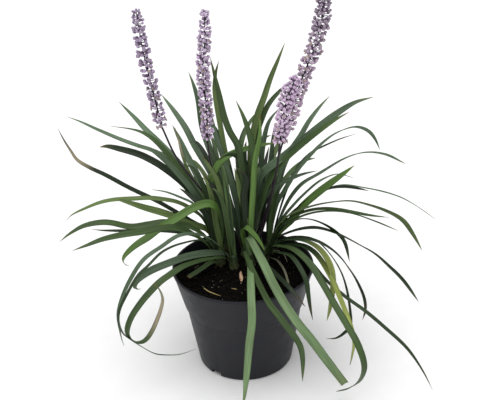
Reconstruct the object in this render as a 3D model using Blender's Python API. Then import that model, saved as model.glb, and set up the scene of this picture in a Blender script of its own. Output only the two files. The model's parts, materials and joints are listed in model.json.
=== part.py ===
"""A liriope in flower, growing in a plastic nursery pot.

Every length below is in millimetres until a mesh is made. The origin is the centre of the
pot's underside, +Z is up, and -Y is the side that faces the viewer.
"""

import math
import random
from collections import namedtuple

import bmesh
import bpy
from mathutils import Matrix, Vector
from mathutils.bvhtree import BVHTree

MM = 0.001
GAP = 0.35                  # left between pieces that touch

PLASTIC = (0.021, 0.022, 0.025)
POTTING_SOIL = (0.016, 0.012, 0.009)
LEAF_GREEN = (0.040, 0.085, 0.030)
STALK = (0.020, 0.010, 0.018)
LILAC = (0.300, 0.230, 0.450)

# Pot
POT_HEIGHT = 130.0
RIM_RADIUS = 85.0
LIP_HEIGHT = 3.5
LIP_STEP = 0.9
SKIRT_DEPTH = 47.5          # the flared band below the rim
SKIRT_STEP = 2.1
SKIRT_FOOT_RADIUS = 73.0
BODY_BASE_RADIUS = 58.6
FOOT_ROUND = 5.0
WALL = 1.5
FLOOR = 2.2
POT_SIDES = 40
DRAIN_SLOTS = 2
DRAIN_WIDTH = 14.0
DRAIN_HEIGHT = 6.5
DRAIN_ANGLE = 231.0
SLOT_REACH = 7.0            # how far the cutter of a slot reaches to either side of the wall
SLOT_BELOW = 2.0

# Soil
SOIL_EDGE_Z = 118.5
SOIL_MOUND = 3.5
SOIL_ROUGH = 1.1
SOIL_RINGS = (0.93, 0.72, 0.4)
SOIL_SEED = 5

# Crowns
CROWN_RADIUS = 6.5
CROWN_SIDES = 8
CROWN_FOOT_Z = 104.0
CROWN_TOP_Z = 139.0
CROWN_TOP_SHARE = 0.55      # its radius there, as a share of the radius at the soil
ROOT_SPREAD = 3.6           # how far from a crown's middle its leaves start
ROOT_SIDEWAYS = 2.2         # and how far to either side, in turn over the fan
ROOT_WAVES = 5.0
ROOT_Z = 117.0              # where a leaf starts, inside its crown
NECK_Z = 125.0              # where it leaves the crown

# Leaves
BLADE_THICK = 1.0
BLADE_KEEL = 0.1            # how far the midrib hangs below the edges, as a share of the width
SEGMENT_LENGTH = 66.0
TURN_PER_SEGMENT = 26.0
FEWEST_SEGMENTS = 5
MOST_SEGMENTS = 20
ROOT_SHARE = 0.35           # the share of its length over which a blade widens and turns
ROOT_WIDTH = 0.42           # its width at the root, as a share of its full width
TIP_SHARE = 0.7             # where it starts to close to its tip
TIP_LOSS = {"point": 0.62, "blunt": 0.45, "broken": 0.1}    # how much of its width it loses there
GUARD = 0.8                 # how much larger the pot is taken when leaves are kept clear of it
GUARD_DEPTH = 25.0          # and how far down its inside
GUARD_SIDES = 36
CLEARANCE = 0.45            # kept round each blade when leaves are bent clear of each other
OWN_CLEARANCE = 0.1         # and from the free parts of its own fan
JOINED_STEPS = 15           # how many points of a midline lie where a fan grows as one
SMALL_BEND = 5.0            # how far a leaf is bent to miss its own fan, and at most: degrees of
LARGEST_BEND = 40.0         # swing, with 1.2 added for each hundredth of its height that it is lifted

# Flower spikes
SCAPE_RADIUS = 1.6
SCAPE_TIP_RADIUS = 1.2
SCAPE_SIDES = 6
SCAPE_FOOT_Z = 108.0
SCAPE_HOLE_GAP = 0.6
TUBE_STEP = 18.0
CORE_SHARE = 0.42           # the head's core between its buds, as a share of the head's radius
WHORL_SPACING = 6.6
BUDS_A_WHORL = 5
BUD_HEIGHT = 0.42           # the height of a bud's blunt end, as a share of the spacing
BUD_REACH = (0.86, 1.04)    # how far buds stand out, as shares of the head's radius
BUD_SAG = 0.9
HEAD_SEED = 23
HEAD_FOOT = (0.72, 0.12)    # the head's fullness at its foot, and how fast it fills out above
HEAD_TIP = (0.78, 0.42)     # where it starts to narrow, and how much it loses by its tip
HEAD_LIFT = 0.35            # the gap between a stalk and its head, as a share of the first step

# Crown centres on the soil, and the heading of each crown's fan, in degrees from +X
CROWNS = {
    "fan_left_front": (-11, 4),
    "fan_left_low": (-27, 14),
    "fan_left": (-29, 33),
    "fan_left_back": (-19, 51),
    "fan_back": (0, 60),
    "fan_right_back": (20, 56),
    "fan_right": (33, 41),
    "fan_right_front": (27, 22),
    "fan_front": (9, 8),
    "fan_centre": (3, 33),
}

# A leaf's heading from +X and the turn of its face about its midline, in degrees, which it reaches
# by ROOT_SHARE of its length; the twist that it gathers by its tip; the route from the crown to the
# tip as (outward, height) or (outward, height, sideways), read off the plant by eye; and its tip
Leaf = namedtuple("Leaf", "heading width turn twist route tip", defaults=["point"])

LEAVES = {
    "fan_centre": [
        (0, 11, 42, 0, [(8, 160), (14, 205), (22, 232), (51, 256), (68, 271), (89, 289), (110, 306),
                        (131, 319), (152, 325)]),
        (-5, 9, 40, 0, [(12, 150), (22, 195), (32, 226), (50, 252), (68, 270), (89, 288), (108, 302),
                        (124, 312)]),
        (4, 6, 35, 0, [(16, 170), (26, 200), (38, 213), (52, 221), (70, 228), (90, 232)]),
        (30, 7, 40, 0, [(20, 180), (36, 220), (40, 242), (43, 267), (46, 287)]),
        (-90, 8, -10, 0, [(3, 180, 9), (5, 235, 14), (4, 270, 12), (3, 291, 8), (1, 307, 3),
                          (-2, 326, -5)]),
        (-91, 8, 0, 0, [(3, 180, 1), (5, 235, 1), (4, 271, -4), (3, 289, -13), (1, 307, -19),
                        (-2, 332, -24), (-5, 355, -29), (-6, 375, -33)]),
        (-92, 8, 10, 0, [(-2, 170, 4), (-3, 220, 5), (1, 252, -2), (6, 262, -13), (14, 256, -31)]),
    ],
    "fan_right_back": [
        (40, 8, 38, 0, [(-4, 190), (-9, 244), (-4, 275), (4, 298), (14, 316), (24, 336), (36, 355),
                        (49, 376)]),
        (45, 7, 40, 0, [(-2, 200), (0, 268), (12, 292), (24, 306), (42, 316), (71, 327)]),
        (50, 7, 30, -10, [(4, 190), (10, 240), (16, 264), (26, 282), (46, 293)]),
    ],
    "fan_front": [
        (-90, 9, 0, 0, [(18, 140), (56, 144), (97, 134), (110, 117), (115, 88, -4), (119, 50, -8),
                        (121, 24, -11), (126, 8, -14)]),
        (-67, 10, 14, 15, [(8, 168, -6), (45, 156, -5), (80, 144, -7), (109, 132, -6), (132, 121, -2),
                           (148, 104, 8), (156, 82, 20), (162, 44, 42)], "broken"),
        (-65, 8, 20, 0, [(2, 146, -8), (36, 147, -17), (74, 141, -23), (103, 133, -25), (122, 124, -21),
                         (137, 98, -8), (140, 80, -5), (138, 44, -4)]),
        (-55, 6, 10, 10, [(20, 137), (60, 138, -4), (90, 136, -8), (113, 124, -6)]),
        (-45, 8, 0, 0, [(-3, 150, -3), (-3, 170, -8), (3, 181, -10), (12, 177, -8), (22, 167, -6),
                        (29, 155, -4)]),
        (-90, 7, 0, 0, [(3, 150, 1), (2, 190, 3), (1, 228, 6), (0, 260, 9), (0, 291, 15), (0, 318, 16)]),
        (-92, 9, 0, 0, [(0, 172, -3), (-1, 215, -5), (0, 240, -2), (-2, 254, -14)]),
        (-91, 8, 8, 0, [(0, 180, 0), (-3, 203, -6), (-6, 228, -11), (-8, 250, -15)]),
    ],
    "fan_right_front": [
        (-38, 5, 4, 10, [(12, 146), (35, 155), (55, 150), (69, 140), (90, 123), (117, 110), (145, 100),
                         (170, 88), (194, 75), (208, 63), (222, 46), (233, 29)]),
        (-56, 8, 22, -30, [(14, 146), (36, 157), (61, 163), (89, 158), (111, 144), (134, 126), (157, 109),
                           (174, 95), (185, 74), (180, 52), (165, 31), (139, 8)], "blunt"),
        (-44, 8, -18, 80, [(26, 156), (57, 170), (79, 171), (93, 164), (103, 150), (106, 133), (105, 114),
                           (102, 93), (98, 75)]),
        (-46, 7, 15, -20, [(28, 152), (58, 165), (82, 163), (105, 142), (121, 117), (136, 89), (142, 70),
                           (140, 49), (137, 32)], "blunt"),
        (-57, 6, 0, 40, [(20, 142), (43, 152), (63, 157), (82, 150), (93, 140), (97, 125), (101, 110),
                         (107, 94)]),
        (-34, 6, -25, -70, [(26, 158), (50, 169), (70, 170), (90, 157), (105, 137), (113, 115), (118, 88),
                            (119, 67), (112, 54), (100, 41), (86, 35)]),
        (-22, 8, 8, -95, [(14, 148), (39, 159), (58, 161), (77, 156), (95, 144), (110, 125), (118, 111),
                          (126, 92), (128, 75), (125, 60)]),
        (-15, 9, 4, -95, [(14, 152), (32, 164), (50, 171), (68, 173), (92, 167), (116, 156), (134, 146),
                          (151, 131), (169, 113), (189, 85)]),
        (-12, 7, 0, -105, [(20, 168), (34, 177), (44, 182), (58, 182), (74, 176), (87, 167), (97, 155),
                           (104, 128)]),
        (-4, 9, -4, -85, [(16, 168), (31, 184), (49, 193), (73, 200), (102, 203), (126, 197), (150, 187),
                          (166, 176), (179, 157), (191, 135)]),
        (-8, 6, 4, 20, [(20, 170), (37, 184), (55, 192), (73, 195), (91, 194), (108, 191), (126, 188),
                        (148, 186)]),
        (-14, 7, 8, -70, [(24, 170), (42, 184), (62, 193), (86, 197), (109, 195), (132, 188), (159, 178)]),
    ],
    "fan_right": [
        (8, 3, 0, 20, [(30, 166), (60, 196), (90, 205), (118, 199), (146, 190), (168, 180), (190, 165),
                       (214, 145)]),
        (2, 9, -22, -45, [(20, 166), (39, 185), (57, 198), (75, 206), (93, 207), (109, 204), (123, 200)]),
        (-4, 10, 46, 0, [(14, 150), (29, 168), (42, 186), (57, 201), (74, 216), (90, 229), (103, 240)]),
        (14, 6, 12, -40, [(16, 162), (34, 184), (53, 201), (66, 210), (79, 215), (89, 216), (98, 213),
                          (109, 208)]),
        (20, 8, 12, -78, [(20, 176), (42, 205), (69, 217), (103, 231), (128, 234), (158, 226), (189, 207)]),
        (28, 8, 16, -88, [(12, 184), (24, 202), (41, 223), (60, 239), (77, 251), (96, 260), (115, 263),
                          (130, 261), (146, 252), (157, 239), (166, 221)]),
        (34, 4, 0, 0, [(22, 186), (44, 224), (64, 238), (84, 242), (112, 245), (141, 245)]),
        (40, 7, 32, 0, [(12, 190), (24, 227), (38, 248), (54, 262), (68, 277), (85, 290), (104, 301)]),
    ],
    "fan_back": [
        (125, 9, -15, 0, [(30, 160), (64, 196), (102, 224), (123, 243), (150, 259), (182, 274)]),
        (70, 7, 10, 0, [(0, 200), (4, 254), (18, 268), (44, 274), (71, 277)]),
        (110, 7, -10, 0, [(40, 200), (74, 268), (86, 300), (80, 324), (64, 346)]),
        (120, 9, -15, 0, [(34, 176), (74, 222), (94, 250), (103, 285), (115, 305), (126, 317)]),
        (115, 7, -15, 0, [(20, 190), (52, 232), (67, 250), (79, 272), (87, 296)]),
    ],
    "fan_left_back": [
        (160, 6, -28, 0, [(18, 160), (38, 200), (58, 227), (77, 240), (97, 247), (113, 250), (140, 257),
                          (168, 266), (191, 274), (210, 279)]),
        (156, 9, -42, 0, [(14, 158), (26, 174), (41, 189), (62, 208), (86, 223), (102, 230), (119, 235),
                          (144, 238), (164, 239), (175, 236)], "blunt"),
        (166, 10, -48, 75, [(20, 168), (38, 195), (54, 223), (70, 246), (85, 263), (100, 273), (116, 277),
                            (142, 279)]),
        (140, 8, -35, 0, [(30, 176), (70, 216), (108, 240), (130, 252), (152, 266), (178, 281)]),
        (142, 4, -30, 0, [(30, 180), (56, 212), (65, 229), (69, 242), (72, 256), (76, 270)]),
        (130, 9, -35, 0, [(26, 166), (58, 204), (80, 226), (91, 240), (108, 258)]),
    ],
    "fan_left": [
        (176, 7, -22, 0, [(14, 158), (34, 173), (52, 185), (75, 200), (104, 216), (133, 234), (150, 243),
                          (164, 253), (171, 266), (177, 279), (182, 293)]),
        (165, 8, -40, 0, [(14, 180), (30, 210), (46, 230), (63, 248), (80, 260), (96, 263)]),
        (190, 5, -10, 0, [(12, 172), (28, 198), (42, 208), (60, 218), (76, 223)]),
        (182, 8, -16, 0, [(18, 176), (33, 191), (48, 200), (62, 204), (80, 207), (97, 207), (121, 207),
                          (139, 204), (158, 197), (175, 189), (182, 182)]),
        (187, 9, -42, 0, [(8, 150), (16, 163), (34, 171), (51, 182), (69, 191), (86, 198), (103, 206),
                          (122, 214)]),
        (8, 8, 55, 0, [(-14, 178), (-11, 205), (-6, 226), (4, 247), (16, 257), (30, 262), (46, 265),
                       (58, 267), (76, 268)]),
    ],
    "fan_left_low": [
        (200, 10, -60, 55, [(-4, 160), (-2, 190), (6, 205), (18, 208), (35, 204), (53, 196), (72, 188),
                            (87, 179), (100, 173), (112, 165), (119, 157), (118, 150), (113, 147)], "blunt"),
        (193, 8, -38, 0, [(14, 158), (36, 180), (64, 190), (84, 190), (104, 190), (131, 200), (155, 200),
                          (174, 192), (187, 183)]),
        (204, 8, -38, 0, [(18, 156), (37, 176), (55, 188), (73, 193), (97, 195), (121, 198), (144, 199),
                          (162, 197), (180, 195)]),
        (186, 6, -12, 0, [(6, 142), (18, 156), (36, 167), (65, 174), (96, 177), (135, 181), (150, 184)]),
        (222, 7, -20, 0, [(14, 131), (28, 129), (40, 127), (51, 125.5)], "broken"),
    ],
    "fan_left_front": [
        (222, 4, -8, 0, [(18, 156), (44, 178), (78, 187), (103, 187), (124, 178), (138, 172), (153, 157),
                         (166, 140), (169, 126), (165, 109), (157, 97), (141, 77), (126, 61), (109, 50),
                         (90, 41), (66, 36)]),
        (211, 6, -15, 0, [(14, 152), (38, 178), (68, 189), (95, 181), (117, 172), (135, 152), (148, 130),
                          (154, 112), (153, 82), (151, 69)]),
        (206, 9, -40, 0, [(8, 143), (24, 150), (43, 154), (62, 155), (84, 153), (104, 150), (118, 145),
                          (126, 138), (125, 131), (119, 129)], "blunt"),
        (222, 9, -30, 60, [(12, 141), (36, 150), (59, 155), (78, 157), (96, 154), (110, 151), (125, 144),
                           (138, 136), (152, 124), (160, 111, 1), (159, 101, 2), (151, 91, 3),
                           (141, 89, 4), (132, 96, 5), (124, 108, 6), (117, 120, 6), (113, 132, 6),
                           (116, 146, 6), (123, 158, 6)]),
    ],
}

# Leaves of the crowded middle, which can't be told apart: how many each crown has, the headings
# between which they lie, and how far outward and upward they reach
HIDDEN_LEAVES = {
    "fan_back": (6, 60, 114, (60, 140), (60, 125)),
    "fan_left_back": (4, 100, 136, (60, 120), (80, 125)),
    "fan_right_back": (4, 45, 84, (60, 120), (70, 120)),
    "fan_left": (1, 96, 104, (24, 60), (90, 130)),
    "fan_right": (4, 50, 90, (24, 60), (80, 120)),
    "fan_centre": (5, 40, 140, (10, 40), (100, 135)),
    "fan_left_front": (5, 105, 150, (20, 60), (95, 130)),
    "fan_front": (2, 64, 84, (10, 40), (80, 120)),
    "fan_left_low": (4, 110, 150, (24, 60), (80, 120)),
}
HIDDEN_SEED = 11
HIDDEN_WIDTH = (5.5, 8.0)
HIDDEN_DROOP = (-20, 20)
HIDDEN_TWIST = 20.0
HIDDEN_ROUTE = [(0.18, 0.5), (0.45, 0.86), (0.75, 1.0)]    # shares of the reach and of the rise
HIDDEN_TURN = 38.0          # how far they turn their upper face to the bright side, -Y

# Each flower spike: the stalk's route from the soil, the head's route above it, the head's
# radius at its foot, and how crowded its buds are
SPIKES = {
    "left": {
        "scape": [(-10, 49, 132), (-24, 48, 168), (-50, 45, 212), (-74, 39, 254), (-88, 32, 297)],
        "head": [(-88, 32, 297), (-95, 30, 343), (-102, 30, 389), (-106, 30, 435)],
        "radius": 7.6,
        "crowding": 0.95,
    },
    "centre": {
        "scape": [(-5, 49, 132), (-21, 48, 180), (-34, 45, 238), (-37, 41, 277)],
        "head": [(-37, 41, 277), (-36, 39, 313), (-38, 38, 361), (-34, 38, 395), (-32, 38, 430)],
        "radius": 7.4,
        "crowding": 1.0,
    },
    "right_long": {
        "scape": [(12, 46, 132), (20, 47, 150), (30, 47, 174), (39, 47, 212), (48, 46, 254), (56, 45, 282)],
        "head": [(56, 45, 282), (64, 44, 310), (74, 43, 345), (89, 42, 385), (97, 42, 420), (99, 42, 450)],
        "radius": 9.2,
        "crowding": 1.0,
    },
    "right_short": {
        "scape": [(18, 33, 132), (28, 31, 170), (38, 25, 215), (44, 19, 250), (47, 15, 280)],
        "head": [(47, 15, 280), (50, 15, 305), (55, 15, 330), (61, 15, 346), (67, 15, 358)],
        "radius": 8.8,
        "crowding": 1.1,
    },
}


# Scene

def clear_scene():
    for obj in list(bpy.data.objects):
        bpy.data.objects.remove(obj, do_unlink=True)


def make_material(name, colour, roughness):
    material = bpy.data.materials.new(name)
    material.use_nodes = True
    shader = material.node_tree.nodes["Principled BSDF"]
    shader.inputs["Base Color"].default_value = (*colour, 1.0)
    shader.inputs["Roughness"].default_value = roughness
    shader.inputs["Metallic"].default_value = 0.0
    return material


def make_object(name, points, faces, collection=None):
    """A mesh object from points in millimetres."""
    mesh = bpy.data.meshes.new(name)
    mesh.from_pydata([Vector(point) * MM for point in points], [], faces)
    obj = bpy.data.objects.new(name, mesh)
    (collection or bpy.context.scene.collection).objects.link(obj)
    return obj


def face_outward(obj):
    edit = bmesh.new()
    edit.from_mesh(obj.data)
    bmesh.ops.recalc_face_normals(edit, faces=edit.faces)
    edit.to_mesh(obj.data)
    edit.free()


def triangulate(obj):
    edit = bmesh.new()
    edit.from_mesh(obj.data)
    bmesh.ops.triangulate(edit, faces=edit.faces)
    edit.to_mesh(obj.data)
    edit.free()


def keep_largest_body(obj):
    """Drops loose scraps and the walls of any hollow that a union has sealed."""
    edit = bmesh.new()
    edit.from_mesh(obj.data)
    bmesh.ops.remove_doubles(edit, verts=edit.verts, dist=1e-7)
    bodies = []
    unseen = set(edit.verts)
    while unseen:
        body = {unseen.pop()}
        front = list(body)
        while front:
            for edge in front.pop().link_edges:
                for vert in edge.verts:
                    if vert in unseen:
                        unseen.remove(vert)
                        body.add(vert)
                        front.append(vert)
        bodies.append(body)
    largest = max(bodies, key=len)
    bmesh.ops.delete(edit, geom=[vert for vert in edit.verts if vert not in largest], context="VERTS")
    bmesh.ops.triangulate(edit, faces=edit.faces)
    edit.to_mesh(obj.data)
    edit.free()


def apply_boolean(obj, collection, operation):
    """Joins or cuts an object with all that a collection holds, and removes the collection."""
    modifier = obj.modifiers.new(operation.lower(), "BOOLEAN")
    modifier.operation = operation
    modifier.operand_type = "COLLECTION"
    modifier.collection = collection
    modifier.solver = "EXACT"
    bpy.context.view_layer.update()
    graph = bpy.context.evaluated_depsgraph_get()
    result = bpy.data.meshes.new_from_object(obj.evaluated_get(graph))
    obj.modifiers.clear()
    obj.data = result
    for part in list(collection.objects):
        bpy.data.objects.remove(part, do_unlink=True)
    bpy.data.collections.remove(collection)


def new_collection(name):
    collection = bpy.data.collections.new(name)
    bpy.context.scene.collection.children.link(collection)
    return collection


def turned_solid(name, profile, sides, collection=None):
    """A closed solid turned from a profile of (radius, height) that starts and ends on the axis."""
    points = [(0.0, 0.0, profile[0][1])]
    for radius, height in profile[1:-1]:
        for side in range(sides):
            angle = math.tau * side / sides
            points.append((radius * math.cos(angle), radius * math.sin(angle), height))
    points.append((0.0, 0.0, profile[-1][1]))
    last = len(points) - 1
    faces = []
    for side in range(sides):
        following = (side + 1) % sides
        faces.append((0, 1 + following, 1 + side))
        for ring in range(len(profile) - 3):
            low = 1 + ring * sides
            high = low + sides
            faces.append((low + side, low + following, high + following, high + side))
        top = last - sides
        faces.append((last, top + side, top + following))
    obj = make_object(name, points, faces, collection)
    face_outward(obj)
    return obj


# Curves

def smooth_route(points, step=1.5):
    """Points about one step apart along a smooth curve through the given points."""
    knots = [Vector(point) for point in points]
    tangents = []
    for index, knot in enumerate(knots):
        before = knots[max(index - 1, 0)]
        after = knots[min(index + 1, len(knots) - 1)]
        tangents.append((after - before).normalized())
    curve = [knots[0]]
    for index in range(len(knots) - 1):
        start, end = knots[index], knots[index + 1]
        span = (end - start).length
        count = max(2, round(span / step))
        for part in range(1, count + 1):
            t = part / count
            curve.append(
                start * (2 * t**3 - 3 * t**2 + 1)
                + end * (3 * t**2 - 2 * t**3)
                + tangents[index] * span * (t**3 - 2 * t**2 + t)
                + tangents[index + 1] * span * (t**3 - t**2)
            )
    return curve


def even_points(curve, count):
    """The curve's points at count equal steps of its length, both ends included."""
    reached = [0.0]
    for before, after in zip(curve, curve[1:]):
        reached.append(reached[-1] + (after - before).length)
    picked = []
    index = 0
    for part in range(count + 1):
        wanted = reached[-1] * part / count
        while index < len(curve) - 2 and reached[index + 1] < wanted:
            index += 1
        share = (wanted - reached[index]) / max(reached[index + 1] - reached[index], 1e-9)
        picked.append(curve[index].lerp(curve[index + 1], min(max(share, 0.0), 1.0)))
    return picked


def total_turn(curve):
    turn = 0.0
    for before, here, after in zip(curve, curve[1:], curve[2:]):
        turn += (here - before).angle(after - here, 0.0)
    return math.degrees(turn)


def carried_frames(points, side):
    """The tangent and the sideways direction at each point, with no twist added."""
    frames = []
    for index in range(len(points)):
        before = points[max(index - 1, 0)]
        after = points[min(index + 1, len(points) - 1)]
        tangent = (after - before).normalized()
        side = (side - tangent * side.dot(tangent)).normalized()
        frames.append((tangent, side))
    return frames


# Leaves

def leaf_curve(crown, leaf, place, swing=0.0, lift=0.0):
    """The smooth midline of one leaf, from inside its crown to its tip.

    Place runs from -1 to 1: the low outer leaves of a fan to its upright inner ones.
    """
    angle = math.radians(leaf.heading + swing)
    out = Vector((math.cos(angle), math.sin(angle), 0.0))
    side = Vector((-math.sin(angle), math.cos(angle), 0.0))
    centre = Vector((*CROWNS[crown], 0.0))
    shift = out * (-ROOT_SPREAD * place) + side * (ROOT_SIDEWAYS * math.sin(ROOT_WAVES * place))
    up = Vector((0.0, 0.0, 1.0))
    knots = [
        centre + shift * 0.8 + up * ROOT_Z,
        centre + shift + up * NECK_Z,
    ]
    for step in leaf.route:
        outward, height = step[0], step[1]
        sideways = step[2] if len(step) > 2 else 0.0
        height += lift * max(height - NECK_Z, 0.0)
        knots.append(centre + out * outward + side * sideways + up * height)
    return smooth_route(knots), side


def half_width(leaf, share):
    """Half the blade's width at a share of its length: narrow at the root, closing at the tip."""
    root = ROOT_WIDTH + (1.0 - ROOT_WIDTH) * min(share / ROOT_SHARE, 1.0)
    past = max(share - TIP_SHARE, 0.0) / (1.0 - TIP_SHARE)
    return leaf.width / 2 * root * (1.0 - TIP_LOSS[leaf.tip] * past**1.8)


def blade_roll(leaf, share):
    return math.radians(leaf.turn * min(share / ROOT_SHARE, 1.0) + leaf.twist * share**2)


def blade_mesh(leaf, curve, side, margin=0.0):
    """Points and triangles of one thin closed blade: two edges and a keel at each station."""
    count = round(curve_length(curve) / SEGMENT_LENGTH + total_turn(curve) / TURN_PER_SEGMENT)
    count = min(max(count, FEWEST_SEGMENTS), MOST_SEGMENTS)
    stations = even_points(curve, count)
    frames = carried_frames(stations, side)
    cut_short = leaf.tip == "broken"
    rings = count + 1 if cut_short else count
    points = []
    for index in range(rings):
        share = index / count
        tangent, across = frames[index]
        across = across.copy()
        across.rotate(Matrix.Rotation(blade_roll(leaf, share), 3, tangent))
        face = tangent.cross(across)
        half = half_width(leaf, share) + margin
        thick = BLADE_THICK * (1.0 - 0.3 * share)
        keel = face * (thick + 2 * half * BLADE_KEEL + 2 * margin)
        edge = face * margin
        middle = stations[index] + face * (thick / 2)
        points += [middle - across * half + edge, middle - keel, middle + across * half + edge]
    faces = [(0, 1, 2)]
    for index in range(rings - 1):
        low = 3 * index
        high = low + 3
        for corner, following in ((0, 1), (2, 1), (0, 2)):
            faces.append((low + corner, low + following, high + following))
            faces.append((low + corner, high + following, high + corner))
    last = 3 * (rings - 1)
    if cut_short:
        faces.append((last, last + 1, last + 2))
        return points, faces
    points.append(stations[-1] + frames[-1][0] * margin)
    for corner in range(3):
        faces.append((last + corner, last + (corner + 1) % 3, len(points) - 1))
    return points, faces


def curve_length(curve):
    return sum((after - before).length for before, after in zip(curve, curve[1:]))


def hidden_leaves(crown, draw):
    """Leaves that a seeded rule adds where the others hide them."""
    count, first, last, reaches, rises = HIDDEN_LEAVES.get(crown, (0, 0, 0, (0, 0), (0, 0)))
    leaves = []
    for index in range(count):
        heading = first + (last - first) * (index + draw.uniform(0.25, 0.75)) / count
        reach = draw.uniform(*reaches)
        rise = draw.uniform(*rises)
        droop = draw.uniform(*HIDDEN_DROOP)
        width = draw.uniform(*HIDDEN_WIDTH)
        turn = HIDDEN_TURN * math.cos(math.radians(heading))
        route = [(reach * along, NECK_Z + rise * up) for along, up in HIDDEN_ROUTE]
        route.append((reach, NECK_Z + rise - droop / 2))
        leaves.append(Leaf(heading, width, turn, draw.uniform(-HIDDEN_TWIST, HIDDEN_TWIST), route))
    return leaves


def bends(most):
    """Ways to bend a leaf clear, smallest first: a swing in degrees and a lift of its height."""
    swings = [0, 2, -2, 4, -4, 6, -6, 9, -9, 12, -12, 16, -16]
    lifts = [0.0, 0.03, -0.03, 0.06, -0.06, 0.1, -0.1, 0.15]
    costs = sorted((abs(swing) + 120 * abs(lift), swing, lift) for swing in swings for lift in lifts)
    return [(swing, lift) for cost, swing, lift in costs if cost <= most]


def steepness(leaf):
    """How upright a leaf starts: its height for each millimetre outward, half way along."""
    outward, height = leaf.route[len(leaf.route) // 2][:2]
    return (height - NECK_Z) / max(abs(outward), 5.0)


def touches(tree, box, placed, own):
    low, high = box
    for name, other, (other_low, other_high) in placed:
        if name == own:
            continue
        if any(low[axis] > other_high[axis] or high[axis] < other_low[axis] for axis in range(3)):
            continue
        if tree.overlap(other):
            return True
    return False


def tree_and_box(points, faces):
    tree = BVHTree.FromPolygons(points, faces)
    low = [min(point[axis] for point in points) for axis in range(3)]
    high = [max(point[axis] for point in points) for axis in range(3)]
    return tree, (low, high)


def plan_leaves():
    """Every leaf with the bend that keeps it clear of the other pieces."""
    placed = []
    for name, spike in SPIKES.items():
        for part, radius in (("scape", SCAPE_RADIUS), ("head", spike["radius"] + 1.0)):
            points, faces = tube_mesh(smooth_route(spike[part]), [radius + CLEARANCE] * 2, 8)
            placed.append((name, *tree_and_box(points, faces)))
    rim_points, rim_faces = rim_guard()
    placed.append(("pot", *tree_and_box(rim_points, rim_faces)))
    for crown in CROWNS:
        points, faces = crown_mesh(crown, CLEARANCE)
        placed.append((crown, *tree_and_box(points, faces)))
    draw = random.Random(HIDDEN_SEED)
    rows = [(crown, Leaf(*row)) for crown in LEAVES for row in LEAVES[crown]]
    rows += [(crown, leaf) for crown in CROWNS for leaf in hidden_leaves(crown, draw)]
    plan = {crown: [] for crown in CROWNS}
    for crown, leaf in rows:
        fan = sorted((other for name, other in rows if name == crown), key=steepness)
        place = 2.0 * fan.index(leaf) / (len(fan) - 1) - 1.0
        chosen = clear_curve(crown, leaf, place, placed, SMALL_BEND, apart=True)
        if chosen is None:
            chosen = clear_curve(crown, leaf, place, placed, LARGEST_BEND, apart=False)
        if chosen is None:
            print("no room for a leaf of", crown, "with heading", leaf.heading)
            continue
        curve, side = chosen
        whole = tree_and_box(*blade_mesh(leaf, curve, side, CLEARANCE))
        free = tree_and_box(*blade_mesh(leaf, free_part(curve), side, OWN_CLEARANCE))
        placed.append((crown, *whole))
        placed.append((crown + "_free", *free))
        plan[crown].append((leaf, curve, side))
    return plan


def free_part(curve):
    """The curve without its lowest stretch, where the leaves of a fan grow as one."""
    return curve[JOINED_STEPS:]


def clear_curve(crown, leaf, place, placed, most, apart):
    """The least bent midline that keeps clear, also of the leaf's own fan where it is kept apart."""
    for swing, lift in bends(most):
        curve, side = leaf_curve(crown, leaf, place, swing, lift)
        tree, box = tree_and_box(*blade_mesh(leaf, curve, side, CLEARANCE))
        others = [row for row in placed if not row[0].endswith("_free")]
        if touches(tree, box, others, crown):
            continue
        if apart:
            own = [row for row in placed if row[0] == crown + "_free"]
            tree, box = tree_and_box(*blade_mesh(leaf, free_part(curve), side, OWN_CLEARANCE))
            if touches(tree, box, own, crown):
                continue
        return curve, side
    return None


def crown_rows(crown, rows):
    """A closed upright solid on a crown's centre, from rows of (radius, height)."""
    x, y = CROWNS[crown]
    points = []
    for radius, height in rows:
        for side in range(CROWN_SIDES):
            angle = math.tau * side / CROWN_SIDES
            points.append(Vector((x + radius * math.cos(angle), y + radius * math.sin(angle), height)))
    faces = [tuple(range(CROWN_SIDES))[::-1]]
    for row in range(len(rows) - 1):
        for side in range(CROWN_SIDES):
            following = (side + 1) % CROWN_SIDES
            low = row * CROWN_SIDES
            high = low + CROWN_SIDES
            faces.append((low + side, low + following, high + following, high + side))
    faces.append(tuple(range(len(points) - CROWN_SIDES, len(points))))
    return points, faces


def crown_mesh(crown, margin=0.0):
    """The short stem of sheathed leaf bases that a fan grows from."""
    return crown_rows(crown, [
        (CROWN_RADIUS + margin, CROWN_FOOT_Z),
        (CROWN_RADIUS + margin, NECK_Z),
        (CROWN_RADIUS * CROWN_TOP_SHARE + margin, CROWN_TOP_Z),
    ])


def crown_hole(crown):
    """A plain hole in the soil, in which a crown stands."""
    radius = CROWN_RADIUS + GAP / math.cos(math.pi / CROWN_SIDES)
    return crown_rows(crown, [(radius, CROWN_FOOT_Z - GAP), (radius, CROWN_TOP_Z)])


def build_fan(crown, leaves, material):
    points, faces = crown_mesh(crown)
    fan = make_object(crown, points, faces)
    face_outward(fan)
    collection = new_collection(crown + "_blades")
    for leaf, curve, side in leaves:
        blade = make_object("blade", *blade_mesh(leaf, curve, side), collection)
        face_outward(blade)
    apply_boolean(fan, collection, "UNION")
    keep_largest_body(fan)
    fan.data.materials.clear()
    fan.data.materials.append(material)
    return fan


# Flower spikes

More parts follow.
